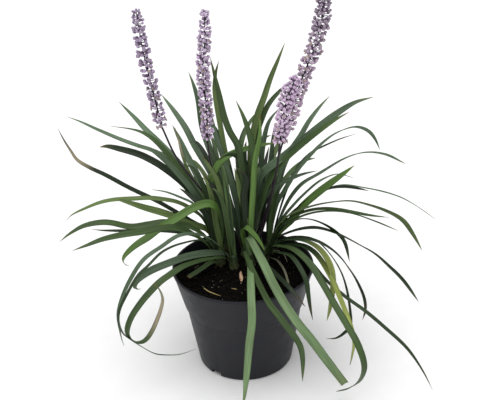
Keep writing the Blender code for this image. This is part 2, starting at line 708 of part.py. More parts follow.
def tube_mesh(curve, radii, sides, count=None):
    """A closed round bar along a curve, whose radius runs from radii[0] to radii[1]."""
    count = count or max(3, round(curve_length(curve) / TUBE_STEP))
    stations = even_points(curve, count)
    frames = carried_frames(stations, Vector((1.0, 0.3, 0.0)))
    points = []
    for index, (tangent, across) in enumerate(frames):
        other = tangent.cross(across)
        radius = radii[0] + (radii[1] - radii[0]) * index / count
        for side in range(sides):
            angle = math.tau * side / sides
            points.append(stations[index] + (across * math.cos(angle) + other * math.sin(angle)) * radius)
    faces = [tuple(range(sides))[::-1]]
    for ring in range(count):
        for side in range(sides):
            following = (side + 1) % sides
            low = ring * sides
            high = low + sides
            faces.append((low + side, low + following, high + following, high + side))
    faces.append(tuple(range(count * sides, (count + 1) * sides)))
    return points, faces


def build_scape(name, spike, material):
    x, y, _ = spike["scape"][0]
    curve = smooth_route([(x, y, SCAPE_FOOT_Z), (x, y, NECK_Z), *spike["scape"]])
    points, faces = tube_mesh(curve, (SCAPE_RADIUS, SCAPE_TIP_RADIUS), SCAPE_SIDES)
    scape = make_object("scape_" + name, points, faces)
    face_outward(scape)
    scape.data.materials.append(material)
    return scape


def head_taper(share):
    """How full the head is at a share of its height: a rounded foot, and a tip that narrows late."""
    foot, rate = HEAD_FOOT
    start, loss = HEAD_TIP
    past = max(share - start, 0.0) / (1.0 - start)
    return min(1.0, foot + share / rate) * (1.0 - loss * past**2)


def build_head(name, spike, material, draw):
    """A core closely set with whorls of blunt buds, each turned half a bud from the last."""
    curve = smooth_route(spike["head"])
    whorls = round(curve_length(curve) / WHORL_SPACING * spike["crowding"])
    steps = 3 * whorls
    stations = even_points([curve[0].lerp(curve[1], HEAD_LIFT), *curve[1:]], steps)
    frames = carried_frames(stations, Vector((1.0, 0.3, 0.0)))
    columns = 2 * BUDS_A_WHORL
    points = []
    for step, (tangent, across) in enumerate(frames):
        other = tangent.cross(across)
        whorl, row = divmod(step, 3)
        full = spike["radius"] * head_taper(step / steps)
        if row == 0:
            reaches = [full * draw.uniform(*BUD_REACH) for _ in range(columns)]
            sags = [draw.uniform(-BUD_SAG, BUD_SAG) for _ in range(columns)]
        for column in range(columns):
            angle = math.tau * column / columns
            raised = row > 0 and (column + whorl) % 2 == 0
            radius = reaches[column] if raised else full * CORE_SHARE
            height = sags[column] if raised else 0.0
            if raised:
                height += (1.5 - row) * (1.0 / 3.0 - BUD_HEIGHT) * WHORL_SPACING
            out = across * math.cos(angle) + other * math.sin(angle)
            points.append(stations[step] + out * radius + tangent * height)
    foot = len(points)
    points += [stations[0], stations[-1] + frames[-1][0] * 1.5]
    faces = []
    for step in range(steps):
        for column in range(columns):
            following = (column + 1) % columns
            low = step * columns
            high = low + columns
            faces.append((low + column, low + following, high + following, high + column))
    for column in range(columns):
        following = (column + 1) % columns
        faces.append((foot, following, column))
        faces.append((foot + 1, steps * columns + column, steps * columns + following))
    head = make_object("head_" + name, points, faces)
    face_outward(head)
    triangulate(head)
    head.data.materials.append(material)
    return head


# Pot and soil

def outer_profile():
    skirt_z = POT_HEIGHT - SKIRT_DEPTH
    return [
        (0.0, 0.0),
        (BODY_BASE_RADIUS - FOOT_ROUND * 0.62, 0.0),
        (BODY_BASE_RADIUS - FOOT_ROUND * 0.2, FOOT_ROUND * 0.4),
        (BODY_BASE_RADIUS, FOOT_ROUND),
        (SKIRT_FOOT_RADIUS - SKIRT_STEP, skirt_z - SKIRT_STEP),
        (SKIRT_FOOT_RADIUS, skirt_z),
        (RIM_RADIUS - LIP_STEP, POT_HEIGHT - LIP_HEIGHT),
        (RIM_RADIUS, POT_HEIGHT - LIP_HEIGHT + 0.6),
        (RIM_RADIUS, POT_HEIGHT - 0.7),
        (RIM_RADIUS - 0.7, POT_HEIGHT),
    ]


def inner_profile(inset=0.0):
    """The pot's inside from the rim down, drawn in by an inset."""
    skirt_z = POT_HEIGHT - SKIRT_DEPTH
    slant = WALL + inset
    return [
        (RIM_RADIUS - LIP_STEP - slant, POT_HEIGHT),
        (SKIRT_FOOT_RADIUS - slant, skirt_z + 1.0),
        (SKIRT_FOOT_RADIUS - SKIRT_STEP - slant, skirt_z - SKIRT_STEP - 1.0),
        (BODY_BASE_RADIUS - slant, FOOT_ROUND),
        (BODY_BASE_RADIUS - slant - 1.4, FLOOR + inset),
        (0.0, FLOOR + inset),
    ]


def build_pot(material):
    pot = turned_solid("pot", outer_profile() + inner_profile(), POT_SIDES)
    slots = new_collection("drain_cutters")
    for slot in range(DRAIN_SLOTS):
        angle = math.radians(DRAIN_ANGLE + 360.0 * slot / DRAIN_SLOTS)
        build_slot_cutter(angle, slots)
    apply_boolean(pot, slots, "DIFFERENCE")
    keep_largest_body(pot)
    pot.data.materials.clear()
    pot.data.materials.append(material)
    return pot


def build_slot_cutter(angle, collection):
    """A block that cuts one drain slot through the foot of the wall."""
    out = Vector((math.cos(angle), math.sin(angle), 0.0))
    side = Vector((-math.sin(angle), math.cos(angle), 0.0))
    points = []
    for height in (-SLOT_BELOW, DRAIN_HEIGHT):
        for along, across in ((-1, -1), (1, -1), (1, 1), (-1, 1)):
            base = out * (BODY_BASE_RADIUS + SLOT_REACH * along) + side * (across * DRAIN_WIDTH / 2)
            points.append(base + Vector((0.0, 0.0, height)))
    faces = [(3, 2, 1, 0), (4, 5, 6, 7)]
    for corner in range(4):
        following = (corner + 1) % 4
        faces.append((corner, following, following + 4, corner + 4))
    face_outward(make_object("slot_cutter", points, faces, collection))


def rim_guard():
    """The pot's wall as the leaves have to clear it, a little larger than the real one."""
    sides = GUARD_SIDES
    inside = RIM_RADIUS - WALL - LIP_STEP - GUARD
    profile = [
        (inside, POT_HEIGHT - GUARD_DEPTH),
        (inside, POT_HEIGHT + GUARD),
        (RIM_RADIUS + GUARD, POT_HEIGHT + GUARD),
        (SKIRT_FOOT_RADIUS + GUARD, POT_HEIGHT - SKIRT_DEPTH),
        (BODY_BASE_RADIUS + GUARD, 0.0),
    ]
    points = []
    for radius, height in profile:
        for side in range(sides):
            angle = math.tau * side / sides
            points.append(Vector((radius * math.cos(angle), radius * math.sin(angle), height)))
    faces = []
    for ring in range(len(profile) - 1):
        for side in range(sides):
            following = (side + 1) % sides
            low = ring * sides
            high = low + sides
            faces.append((low + side, low + following, high + following, high + side))
    return points, faces


def soil_profile():
    """The soil from its underside up the pot's wall and over its mounded top."""
    inside = inner_profile(GAP + 0.15)
    wall = [(radius, height) for radius, height in reversed(inside[1:])]
    low, high = inside[1], inside[0]
    share = (SOIL_EDGE_Z - low[1]) / (high[1] - low[1])
    edge = low[0] + (high[0] - low[0]) * share
    top = []
    for fraction in SOIL_RINGS:
        top.append((edge * fraction, SOIL_EDGE_Z + SOIL_MOUND * (1.0 - fraction**2)))
    return wall + [(edge, SOIL_EDGE_Z)] + top + [(0.0, SOIL_EDGE_Z + SOIL_MOUND)]


def build_soil(material):
    soil = turned_solid("soil", soil_profile(), POT_SIDES)
    draw = random.Random(SOIL_SEED)
    for vertex in soil.data.vertices:
        radius = math.hypot(vertex.co.x, vertex.co.y) / MM
        if vertex.co.z / MM > SOIL_EDGE_Z + 0.05 and radius > 1.0:
            vertex.co.z += draw.uniform(-SOIL_ROUGH, SOIL_ROUGH) * MM
    holes = new_collection("planting_holes")
    for crown in CROWNS:
        points, faces = crown_hole(crown)
        face_outward(make_object("hole", points, faces, holes))
    for spike in SPIKES.values():
        x, y, _ = spike["scape"][0]
        foot = Vector((x, y, SCAPE_FOOT_Z - GAP))
        top = Vector((x, y, CROWN_TOP_Z))
        points, faces = tube_mesh([foot, top], [SCAPE_RADIUS + SCAPE_HOLE_GAP] * 2, SCAPE_SIDES, 1)
        face_outward(make_object("hole", points, faces, holes))
    apply_boolean(soil, holes, "DIFFERENCE")
    keep_largest_body(soil)
    soil.data.materials.clear()
    soil.data.materials.append(material)
    return soil


def build():
    clear_scene()
    plastic = make_material("pot_plastic", PLASTIC, 0.45)
    build_pot(plastic)
    build_soil(make_material("potting_soil", POTTING_SOIL, 0.95))
    leaf_green = {crown: make_material(crown + "_green", LEAF_GREEN, 0.5) for crown in CROWNS}
    for crown, leaves in plan_leaves().items():
        build_fan(crown, leaves, leaf_green[crown])
    draw = random.Random(HEAD_SEED)
    for name, spike in SPIKES.items():
        build_scape(name, spike, make_material("scape_" + name, STALK, 0.55))
        build_head(name, spike, make_material("head_" + name, LILAC, 0.6), draw)


build()
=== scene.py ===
"""A liriope in flower in its nursery pot: the finished surfaces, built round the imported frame.

Lengths are in millimetres until a mesh is made. The origin is the centre of the pot's
underside, +Z is up, and -Y is the side that faces the viewer.
"""

import json
import math
import random
from collections import namedtuple

import bmesh
import bpy
from mathutils import Matrix, Vector, noise
from mathutils.bvhtree import BVHTree

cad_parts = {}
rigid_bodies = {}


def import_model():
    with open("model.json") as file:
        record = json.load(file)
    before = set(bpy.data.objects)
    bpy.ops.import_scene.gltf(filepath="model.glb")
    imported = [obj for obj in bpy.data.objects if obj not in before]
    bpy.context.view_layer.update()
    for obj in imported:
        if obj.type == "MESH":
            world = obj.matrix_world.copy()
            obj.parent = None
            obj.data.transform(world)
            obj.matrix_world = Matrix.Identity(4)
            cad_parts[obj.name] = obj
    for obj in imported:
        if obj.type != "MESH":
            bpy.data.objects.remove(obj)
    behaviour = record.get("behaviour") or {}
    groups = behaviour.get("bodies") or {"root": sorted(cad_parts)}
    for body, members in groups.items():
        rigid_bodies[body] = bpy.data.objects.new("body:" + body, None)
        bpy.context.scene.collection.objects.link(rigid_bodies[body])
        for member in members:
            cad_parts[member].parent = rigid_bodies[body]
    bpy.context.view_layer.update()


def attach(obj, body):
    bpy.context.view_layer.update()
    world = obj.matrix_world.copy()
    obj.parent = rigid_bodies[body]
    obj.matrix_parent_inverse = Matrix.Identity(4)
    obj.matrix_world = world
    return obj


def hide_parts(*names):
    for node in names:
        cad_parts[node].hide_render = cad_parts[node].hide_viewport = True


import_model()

MM = 0.001

# Pot, as in the frame
POT_HEIGHT = 130.0
RIM_RADIUS = 85.0
LIP_HEIGHT = 3.5
LIP_STEP = 0.9
SKIRT_DEPTH = 47.5
SKIRT_STEP = 2.1
SKIRT_FOOT_RADIUS = 73.0
BODY_BASE_RADIUS = 58.6
FOOT_ROUND = 5.0
WALL = 1.5
FLOOR = 2.2
POT_SIDES = 192
DRAIN_SLOTS = 2
DRAIN_WIDTH = 14.0
DRAIN_HEIGHT = 6.5
DRAIN_ANGLE = 231.0
DRAIN_CUT_FOOT = -2.0
DRAIN_CUT_OUT = 1.0
DRAIN_CUT_HALF = 7.0
INNER_STEP = 1.0             # how far past the skirt's step the wall turns on its inside
SHARP_ANGLE = 40.0
ROUNDING_STEPS = 5

# Soil
SOIL_EDGE_Z = 118.5
SOIL_MOUND = 3.5
SOIL_RINGS = 46
SOIL_SIDES = 150
SOIL_GAP = 0.5
SOIL_LUMPS = (0.09, 3.0, 1.5)         # waves for each mm, place in the noise, height
SOIL_CRUMBLE = (0.33, 9.0, 1.0)
SOIL_SEED = 19
CRUMBS = 3200
CRUMB_SIZES = (0.7, 3.0)
CRUMB_STRETCH = (1.0, 1.0, 0.8)
CRUMB_ROUGHNESS = (0.7, 1.25)
CRUMB_BIAS = 2.5             # the larger, the more of the crumbs are small
CRUMB_RISE = 0.25
CRUMB_LIMIT = 0.97
BARK_CHIPS = 70
BARK_SIZES = (0.8, 2.2)
BARK_STRETCH = (1.6, 0.7, 0.4)
WHITE_GRAINS = 60
WHITE_GRAIN_SIZES = (0.4, 1.2)
SCRAP_LIMIT = 0.93

# Strips on the soil: the name, width, thickness, material, slot and route of each
STRIP_SECTION = ((-1, 0), (-0.5, 1), (0.5, 1), (1, 0), (0.5, -1), (-0.5, -1))
STRIP_STEP = 2.0
FEWEST_STRIP_STEPS = 8
STRIP_SIDEWAYS = (0.3, 1.0, 0.0)
STRIP_TAPER = (0.8, 3)
STRIPS = [
    ("wood_chip", 5.0, 1.6, "wood", "potting_soil",
     [(-2.6, -7, 123.2), (-3.4, -16, 124.2), (-2.0, -24, 123.8), (-2.7, -33, 122.6)]),
    ("straw_curled", 1.3, 0.8, "straw", "potting_soil",
     [(-48, -33, 121), (-46, -40, 122.4), (-40, -48, 122.6), (-33, -53, 122.2), (-26, -56, 121)]),
    ("straw_short", 1.1, 0.8, "straw", "potting_soil", [(-14, -42, 122), (-6, -47, 123), (-1, -54, 122)]),
    ("withered_leaf", 3.2, 0.7, "husk", "leaf",
     [(33, 24, 124), (42, 12, 125.5), (49, -8, 125), (52, -26, 123), (54, -44, 121)]),
    ("withered_shoot", 1.8, 0.7, "husk", "leaf",
     [(33, 30, 125), (41, 33, 128), (50, 25, 127), (54, 12, 123.5)]),
]

# Crowns
CROWN_RADIUS = 6.5
CROWN_SIDES = 8
CROWN_FOOT_Z = 104.0
CROWN_TOP_Z = 139.0
CROWN_TOP_SHARE = 0.55
ROOT_SPREAD = 3.6
ROOT_SIDEWAYS = 2.2
ROOT_WAVES = 5.0
ROOT_DRAWN_IN = 0.8
ROOT_Z = 117.0
NECK_Z = 125.0

# Crowns: the fine ones, which start in the soil and taper above a share of their height
FINE_CROWN_ROWS = 12
FINE_CROWN_SIDES = 28
FINE_CROWN_FOOT = 8.0
FINE_CROWN_RISE = 1.0
TAPER_START = 0.45
TAPER_LENGTH = 0.55
TAPER_LOSS = 0.5
FLUTE_DEPTH = 0.13
FLUTE_WAVES = 2.5
FLUTE_LEAN = 0.5

# Leaves: the frame's blades, which the fine ones follow
BLADE_THICK = 1.0
BLADE_THINNING = 0.3
BLADE_KEEL = 0.1
SEGMENT_LENGTH = 66.0
TURN_PER_SEGMENT = 26.0
FEWEST_SEGMENTS = 5
MOST_SEGMENTS = 20
ROOT_SHARE = 0.35
ROOT_WIDTH = 0.42
TIP_SHARE = 0.7
TIP_CURVE = 1.8
TIP_LOSS = {"point": 0.62, "dry": 0.62, "brown": 0.62, "torn": 0.62, "blunt": 0.45, "broken": 0.1}
GUARD = 0.8
GUARD_DEPTH = 25.0
GUARD_SIDES = 36
CLEARANCE = 0.45
OWN_CLEARANCE = 0.1
JOINED_STEPS = 15
SMALL_BEND = 5.0
LARGEST_BEND = 40.0
BEND_SWINGS = (0, 2, -2, 4, -4, 6, -6, 9, -9, 12, -12, 16, -16)
BEND_LIFTS = (0.0, 0.03, -0.03, 0.06, -0.06, 0.1, -0.1, 0.15)
LIFT_COST = 120              # a lift of the whole height counts as this many degrees of swing
LEAST_OUTWARD = 5.0
HEAD_GUARD = 1.0
TUBE_SIDES = 8
TUBE_STEP = 18.0

# Leaves: the fine blades
STATION_STEP = 4.0
FINE_TIP_SHARE = 0.6
FEWEST_STATIONS = 20
BROKEN_LOSS = 0.12
BLUNT_CURVE = (5, 0.8)
POINT_CURVE = (2.6, 0.9)
LEAST_HALF_WIDTH = 0.12
FINE_THICK = 0.55
THINNER_BELOW = 1.2          # the half width below which a blade is thinner
RIBS_FADE_BELOW = 3.0        # the half width below which its ribs are lower
EDGE_THINNING = 0.55
MIDDLE_RISE = 0.25
CHANNEL_CURVE = 1.3
SECTION = (-1.0, -0.72, -0.46, -0.22, 0.0, 0.22, 0.46, 0.72, 1.0)
RIB_RELIEF = 0.07
EDGE_WAVE = 0.28
EDGE_WAVES_PER_MM = 0.04
EDGE_WAVE_OFFSET = 7.0
WOBBLE = 5.0                 # degrees that the blade rolls to and fro along its length
WOBBLE_WAVES = 4.0
LEAF_SEED = 71
NOISE_REACH = 100.0
GRAIN_SHIFT = 20.0

# Flower spikes
SCAPE_RADIUS = 1.6
SCAPE_TIP_RADIUS = 1.2
RACHIS_TIP_RADIUS = 0.5
SCAPE_FOOT_Z = 108.0
FINE_WHORL = 5.4             # the whorls lie closer than in the frame
BUD_LENGTH = 4.7
BUD_RADIUS = 2.15
BUD_SIDES = 9
BUD_ROWS = 7
BUD_ROUNDNESS = 0.9
BUD_FURROW = 0.12
BUD_BLEND_ROWS = 4.0         # rows from the base by which a bud has its light colour
PEDICEL_RADIUS = 0.42
PEDICEL_SIDES = 5
STALK_STEP = 3.0
STALK_SIDES = 14
STALK_RIB = 0.06
STALK_SIDEWAYS = (1.0, 0.3, 0.0)
HEAD_SEED = 47
HEAD_FOOT = (0.72, 0.12)     # how full a head is at its foot, and the share in which it fills out
HEAD_TIP = (0.78, 0.42)      # where a head starts to narrow, and how much it loses by its tip
WHORL_STATIONS = 4
BUD_SWAY = 0.22
BUD_RISE = (-5.0, 50.0)
BUD_SIZES = (0.84, 1.08)
BUD_DEPTHS = (0.82, 1.16)
BUD_SHADES = (0.72, 1.2)
BUD_INSIDE = 0.75
LEAST_REACH = 0.8
PEDICEL_OVERLAP = 0.4
OPEN_LOSS = 1.2
CLOSING_START = 0.75         # above this share of a head the buds rise and shrink
CLOSING_LENGTH = 0.25
CLOSING_RISE = 25.0
CLOSING_SHRINK = 0.3

# Open florets: two counts, then shares of a floret's length or of a petal's width
PETALS = 6
PETAL_ROWS = 4
PETAL_FOOT = 0.1
PETAL_RISE = 0.62
PETAL_NOD = 0.22
PETAL_OUT = 0.62
PETAL_WIDTH = 0.26
PETAL_SWELL = (0.22, 0.72)            # the half turns of a sine at a petal's foot, and along it
PETAL_CUP = 0.35
PETAL_THICK = 0.3            # millimetres

# Crown centres on the soil
CROWNS = {
    "fan_left_front": (-11, 4),
    "fan_left_low": (-27, 14),
    "fan_left": (-29, 33),
    "fan_left_back": (-19, 51),
    "fan_back": (0, 60),
    "fan_right_back": (20, 56),
    "fan_right": (33, 41),
    "fan_right_front": (27, 22),
    "fan_front": (9, 8),
    "fan_centre": (3, 33),
}

# A leaf's heading from +X, width, the turn of its face and the twist that it gathers by its tip, as
# in the frame; the route from the crown to the tip as (outward, height) or (outward, height,
# sideways); the tone of its green; and its tip
Leaf = namedtuple("Leaf", "heading width turn twist route tone tip", defaults=["point"])

LEAVES = {
    "fan_centre": [
        (0, 11, 42, 0, [(8, 160), (14, 205), (22, 232), (51, 256), (68, 271), (89, 289), (110, 306),
                        (131, 319), (152, 325)], "grey"),
        (-5, 9, 40, 0, [(12, 150), (22, 195), (32, 226), (50, 252), (68, 270), (89, 288), (108, 302),
                        (124, 312)], "mid"),
        (4, 6, 35, 0, [(16, 170), (26, 200), (38, 213), (52, 221), (70, 228), (90, 232)], "grey"),
        (30, 7, 40, 0, [(20, 180), (36, 220), (40, 242), (43, 267), (46, 287)], "grey"),
        (-90, 8, -10, 0, [(3, 180, 9), (5, 235, 14), (4, 270, 12), (3, 291, 8), (1, 307, 3),
                          (-2, 326, -5)], "mid"),
        (-91, 8, 0, 0, [(3, 180, 1), (5, 235, 1), (4, 271, -4), (3, 289, -13), (1, 307, -19),
                        (-2, 332, -24), (-5, 355, -29), (-6, 375, -33)], "mid"),
        (-92, 8, 10, 0, [(-2, 170, 4), (-3, 220, 5), (1, 252, -2), (6, 262, -13), (14, 256, -31)], "dark"),
    ],
    "fan_right_back": [
        (40, 8, 38, 0, [(-4, 190), (-9, 244), (-4, 275), (4, 298), (14, 316), (24, 336), (36, 355),
                        (49, 376)], "olive"),
        (45, 7, 40, 0, [(-2, 200), (0, 268), (12, 292), (24, 306), (42, 316), (71, 327)], "mid"),
        (50, 7, 30, -10, [(4, 190), (10, 240), (16, 264), (26, 282), (46, 293)], "grey"),
    ],
    "fan_front": [
        (-90, 9, 0, 0, [(18, 140), (56, 144), (97, 134), (110, 117), (115, 88, -4), (119, 50, -8),
                        (121, 24, -11), (126, 8, -14)], "pale"),
        (-67, 10, 14, 15, [(8, 168, -6), (45, 156, -5), (80, 144, -7), (109, 132, -6), (132, 121, -2),
                           (148, 104, 8), (156, 82, 20), (162, 44, 42)], "pale", "broken"),
        (-65, 8, 20, 0, [(2, 146, -8), (36, 147, -17), (74, 141, -23), (103, 133, -25), (122, 124, -21),
                         (137, 98, -8), (140, 80, -5), (138, 44, -4)], "mid"),
        (-55, 6, 10, 10, [(20, 137), (60, 138, -4), (90, 136, -8), (113, 124, -6)], "shade", "brown"),
        (-45, 8, 0, 0, [(-3, 150, -3), (-3, 170, -8), (3, 181, -10), (12, 177, -8), (22, 167, -6),
                        (29, 155, -4)], "bright"),
        (-90, 7, 0, 0, [(3, 150, 1), (2, 190, 3), (1, 228, 6), (0, 260, 9), (0, 291, 15), (0, 318, 16)],
         "bright"),
        (-92, 9, 0, 0, [(0, 172, -3), (-1, 215, -5), (0, 240, -2), (-2, 254, -14)], "shade"),
        (-91, 8, 8, 0, [(0, 180, 0), (-3, 203, -6), (-6, 228, -11), (-8, 250, -15)], "olive"),
    ],
    "fan_right_front": [
        (-38, 5, 4, 10, [(12, 146), (35, 155), (55, 150), (69, 140), (90, 123), (117, 110), (145, 100),
                         (170, 88), (194, 75), (208, 63), (222, 46), (233, 29)], "dark"),
        (-56, 8, 22, -30, [(14, 146), (36, 157), (61, 163), (89, 158), (111, 144), (134, 126), (157, 109),
                           (174, 95), (185, 74), (180, 52), (165, 31), (139, 8)], "mid", "blunt"),
        (-44, 8, -18, 80, [(26, 156), (57, 170), (79, 171), (93, 164), (103, 150), (106, 133), (105, 114),
                           (102, 93), (98, 75)], "yellow"),
        (-46, 7, 15, -20, [(28, 152), (58, 165), (82, 163), (105, 142), (121, 117), (136, 89), (142, 70),
                           (140, 49), (137, 32)], "yellow", "blunt"),
        (-57, 6, 0, 40, [(20, 142), (43, 152), (63, 157), (82, 150), (93, 140), (97, 125), (101, 110),
                         (107, 94)], "dark", "brown"),
        (-34, 6, -25, -70, [(26, 158), (50, 169), (70, 170), (90, 157), (105, 137), (113, 115), (118, 88),
                            (119, 67), (112, 54), (100, 41), (86, 35)], "dark"),
        (-22, 8, 8, -95, [(14, 148), (39, 159), (58, 161), (77, 156), (95, 144), (110, 125), (118, 111),
                          (126, 92), (128, 75), (125, 60)], "dark", "brown"),
        (-15, 9, 4, -95, [(14, 152), (32, 164), (50, 171), (68, 173), (92, 167), (116, 156), (134, 146),
                          (151, 131), (169, 113), (189, 85)], "dark"),
        (-12, 7, 0, -105, [(20, 168), (34, 177), (44, 182), (58, 182), (74, 176), (87, 167), (97, 155),
                           (104, 128)], "dark"),
        (-4, 9, -4, -85, [(16, 168), (31, 184), (49, 193), (73, 200), (102, 203), (126, 197), (150, 187),
                          (166, 176), (179, 157), (191, 135)], "olive"),
        (-8, 6, 4, 20, [(20, 170), (37, 184), (55, 192), (73, 195), (91, 194), (108, 191), (126, 188),
                        (148, 186)], "mid"),
        (-14, 7, 8, -70, [(24, 170), (42, 184), (62, 193), (86, 197), (109, 195), (132, 188), (159, 178)],
         "mid"),
    ],
    "fan_right": [
        (8, 3, 0, 20, [(30, 166), (60, 196), (90, 205), (118, 199), (146, 190), (168, 180), (190, 165),
                       (214, 145)], "grey"),
        (2, 9, -22, -45, [(20, 166), (39, 185), (57, 198), (75, 206), (93, 207), (109, 204), (123, 200)],
         "shade"),
        (-4, 10, 46, 0, [(14, 150), (29, 168), (42, 186), (57, 201), (74, 216), (90, 229), (103, 240)],
         "bright"),
        (14, 6, 12, -40, [(16, 162), (34, 184), (53, 201), (66, 210), (79, 215), (89, 216), (98, 213),
                          (109, 208)], "grey"),
        (20, 8, 12, -78, [(20, 176), (42, 205), (69, 217), (103, 231), (128, 234), (158, 226), (189, 207)],
         "grey"),
        (28, 8, 16, -88, [(12, 184), (24, 202), (41, 223), (60, 239), (77, 251), (96, 260), (115, 263),
                          (130, 261), (146, 252), (157, 239), (166, 221)], "grey"),
        (34, 4, 0, 0, [(22, 186), (44, 224), (64, 238), (84, 242), (112, 245), (141, 245)], "dark"),
        (40, 7, 32, 0, [(12, 190), (24, 227), (38, 248), (54, 262), (68, 277), (85, 290), (104, 301)],
         "grey"),
    ],
    "fan_back": [
        (125, 9, -15, 0, [(30, 160), (64, 196), (102, 224), (123, 243), (150, 259), (182, 274)], "grey"),
        (70, 7, 10, 0, [(0, 200), (4, 254), (18, 268), (44, 274), (71, 277)], "mid"),
        (110, 7, -10, 0, [(40, 200), (74, 268), (86, 300), (80, 324), (64, 346)], "olive"),
        (120, 9, -15, 0, [(34, 176), (74, 222), (94, 250), (103, 285), (115, 305), (126, 317)], "grey"),
        (115, 7, -15, 0, [(20, 190), (52, 232), (67, 250), (79, 272), (87, 296)], "grey"),
    ],
    "fan_left_back": [
        (160, 6, -28, 0, [(18, 160), (38, 200), (58, 227), (77, 240), (97, 247), (113, 250), (140, 257),
                          (168, 266), (191, 274), (210, 279)], "grey"),
        (156, 9, -42, 0, [(14, 158), (26, 174), (41, 189), (62, 208), (86, 223), (102, 230), (119, 235),
                          (144, 238), (164, 239), (175, 236)], "shade", "blunt"),
        (166, 10, -48, 75, [(20, 168), (38, 195), (54, 223), (70, 246), (85, 263), (100, 273), (116, 277),
                            (142, 279)], "mid"),
        (140, 8, -35, 0, [(30, 176), (70, 216), (108, 240), (130, 252), (152, 266), (178, 281)], "grey"),
        (142, 4, -30, 0, [(30, 180), (56, 212), (65, 229), (69, 242), (72, 256), (76, 270)], "olive", "dry"),
        (130, 9, -35, 0, [(26, 166), (58, 204), (80, 226), (91, 240), (108, 258)], "grey"),
    ],
    "fan_left": [
        (176, 7, -22, 0, [(14, 158), (34, 173), (52, 185), (75, 200), (104, 216), (133, 234), (150, 243),
                          (164, 253), (171, 266), (177, 279), (182, 293)], "shade", "dry"),
        (165, 8, -40, 0, [(14, 180), (30, 210), (46, 230), (63, 248), (80, 260), (96, 263)], "grey"),
        (190, 5, -10, 0, [(12, 172), (28, 198), (42, 208), (60, 218), (76, 223)], "grey"),
        (182, 8, -16, 0, [(18, 176), (33, 191), (48, 200), (62, 204), (80, 207), (97, 207), (121, 207),
                          (139, 204), (158, 197), (175, 189), (182, 182)], "olive"),
        (187, 9, -42, 0, [(8, 150), (16, 163), (34, 171), (51, 182), (69, 191), (86, 198), (103, 206),
                          (122, 214)], "olive", "torn"),
        (8, 8, 55, 0, [(-14, 178), (-11, 205), (-6, 226), (4, 247), (16, 257), (30, 262), (46, 265),
                       (58, 267), (76, 268)], "bright"),
    ],
    "fan_left_low": [
        (200, 10, -60, 55, [(-4, 160), (-2, 190), (6, 205), (18, 208), (35, 204), (53, 196), (72, 188),
                            (87, 179), (100, 173), (112, 165), (119, 157), (118, 150), (113, 147)],
         "bright", "blunt"),
        (193, 8, -38, 0, [(14, 158), (36, 180), (64, 190), (84, 190), (104, 190), (131, 200), (155, 200),
                          (174, 192), (187, 183)], "mid"),
        (204, 8, -38, 0, [(18, 156), (37, 176), (55, 188), (73, 193), (97, 195), (121, 198), (144, 199),
                          (162, 197), (180, 195)], "mid"),
        (186, 6, -12, 0, [(6, 142), (18, 156), (36, 167), (65, 174), (96, 177), (135, 181), (150, 184)],
         "dark"),
        (222, 7, -20, 0, [(14, 131), (28, 129), (40, 127), (51, 125.5)], "mid", "broken"),
    ],
    "fan_left_front": [
        (222, 4, -8, 0, [(18, 156), (44, 178), (78, 187), (103, 187), (124, 178), (138, 172), (153, 157),
                         (166, 140), (169, 126), (165, 109), (157, 97), (141, 77), (126, 61), (109, 50),
                         (90, 41), (66, 36)], "dark"),
        (211, 6, -15, 0, [(14, 152), (38, 178), (68, 189), (95, 181), (117, 172), (135, 152), (148, 130),
                          (154, 112), (153, 82), (151, 69)], "grey"),
        (206, 9, -40, 0, [(8, 143), (24, 150), (43, 154), (62, 155), (84, 153), (104, 150), (118, 145),
                          (126, 138), (125, 131), (119, 129)], "grey", "blunt"),
        (222, 9, -30, 60, [(12, 141), (36, 150), (59, 155), (78, 157), (96, 154), (110, 151), (125, 144),
                           (138, 136), (152, 124), (160, 111, 1), (159, 101, 2), (151, 91, 3),
                           (141, 89, 4), (132, 96, 5), (124, 108, 6), (117, 120, 6), (113, 132, 6),
                           (116, 146, 6), (123, 158, 6)], "mid", "dry"),
    ],
}

# Leaves of the crowded middle: how many each crown has, the headings between which they lie, and
# how far outward and upward they reach
HIDDEN_LEAVES = {
    "fan_back": (6, 60, 114, (60, 140), (60, 125)),
    "fan_left_back": (4, 100, 136, (60, 120), (80, 125)),
    "fan_right_back": (4, 45, 84, (60, 120), (70, 120)),
    "fan_left": (1, 96, 104, (24, 60), (90, 130)),
    "fan_right": (4, 50, 90, (24, 60), (80, 120)),
    "fan_centre": (5, 40, 140, (10, 40), (100, 135)),
    "fan_left_front": (5, 105, 150, (20, 60), (95, 130)),
    "fan_front": (2, 64, 84, (10, 40), (80, 120)),
    "fan_left_low": (4, 110, 150, (24, 60), (80, 120)),
}
HIDDEN_SEED = 11
HIDDEN_PLACE = (0.25, 0.75)
# The hidden leaves' greens; 'shade' among them is a painted shade for the crowded middle
HIDDEN_TONES = ("mid", "dark", "olive", "shade")
HIDDEN_WIDTH = (5.5, 8.0)
HIDDEN_DROOP = (-20, 20)
HIDDEN_TWIST = 20.0
HIDDEN_ROUTE = [(0.18, 0.5), (0.45, 0.86), (0.75, 1.0)]    # shares of the reach and of the rise
HIDDEN_TURN = 38.0

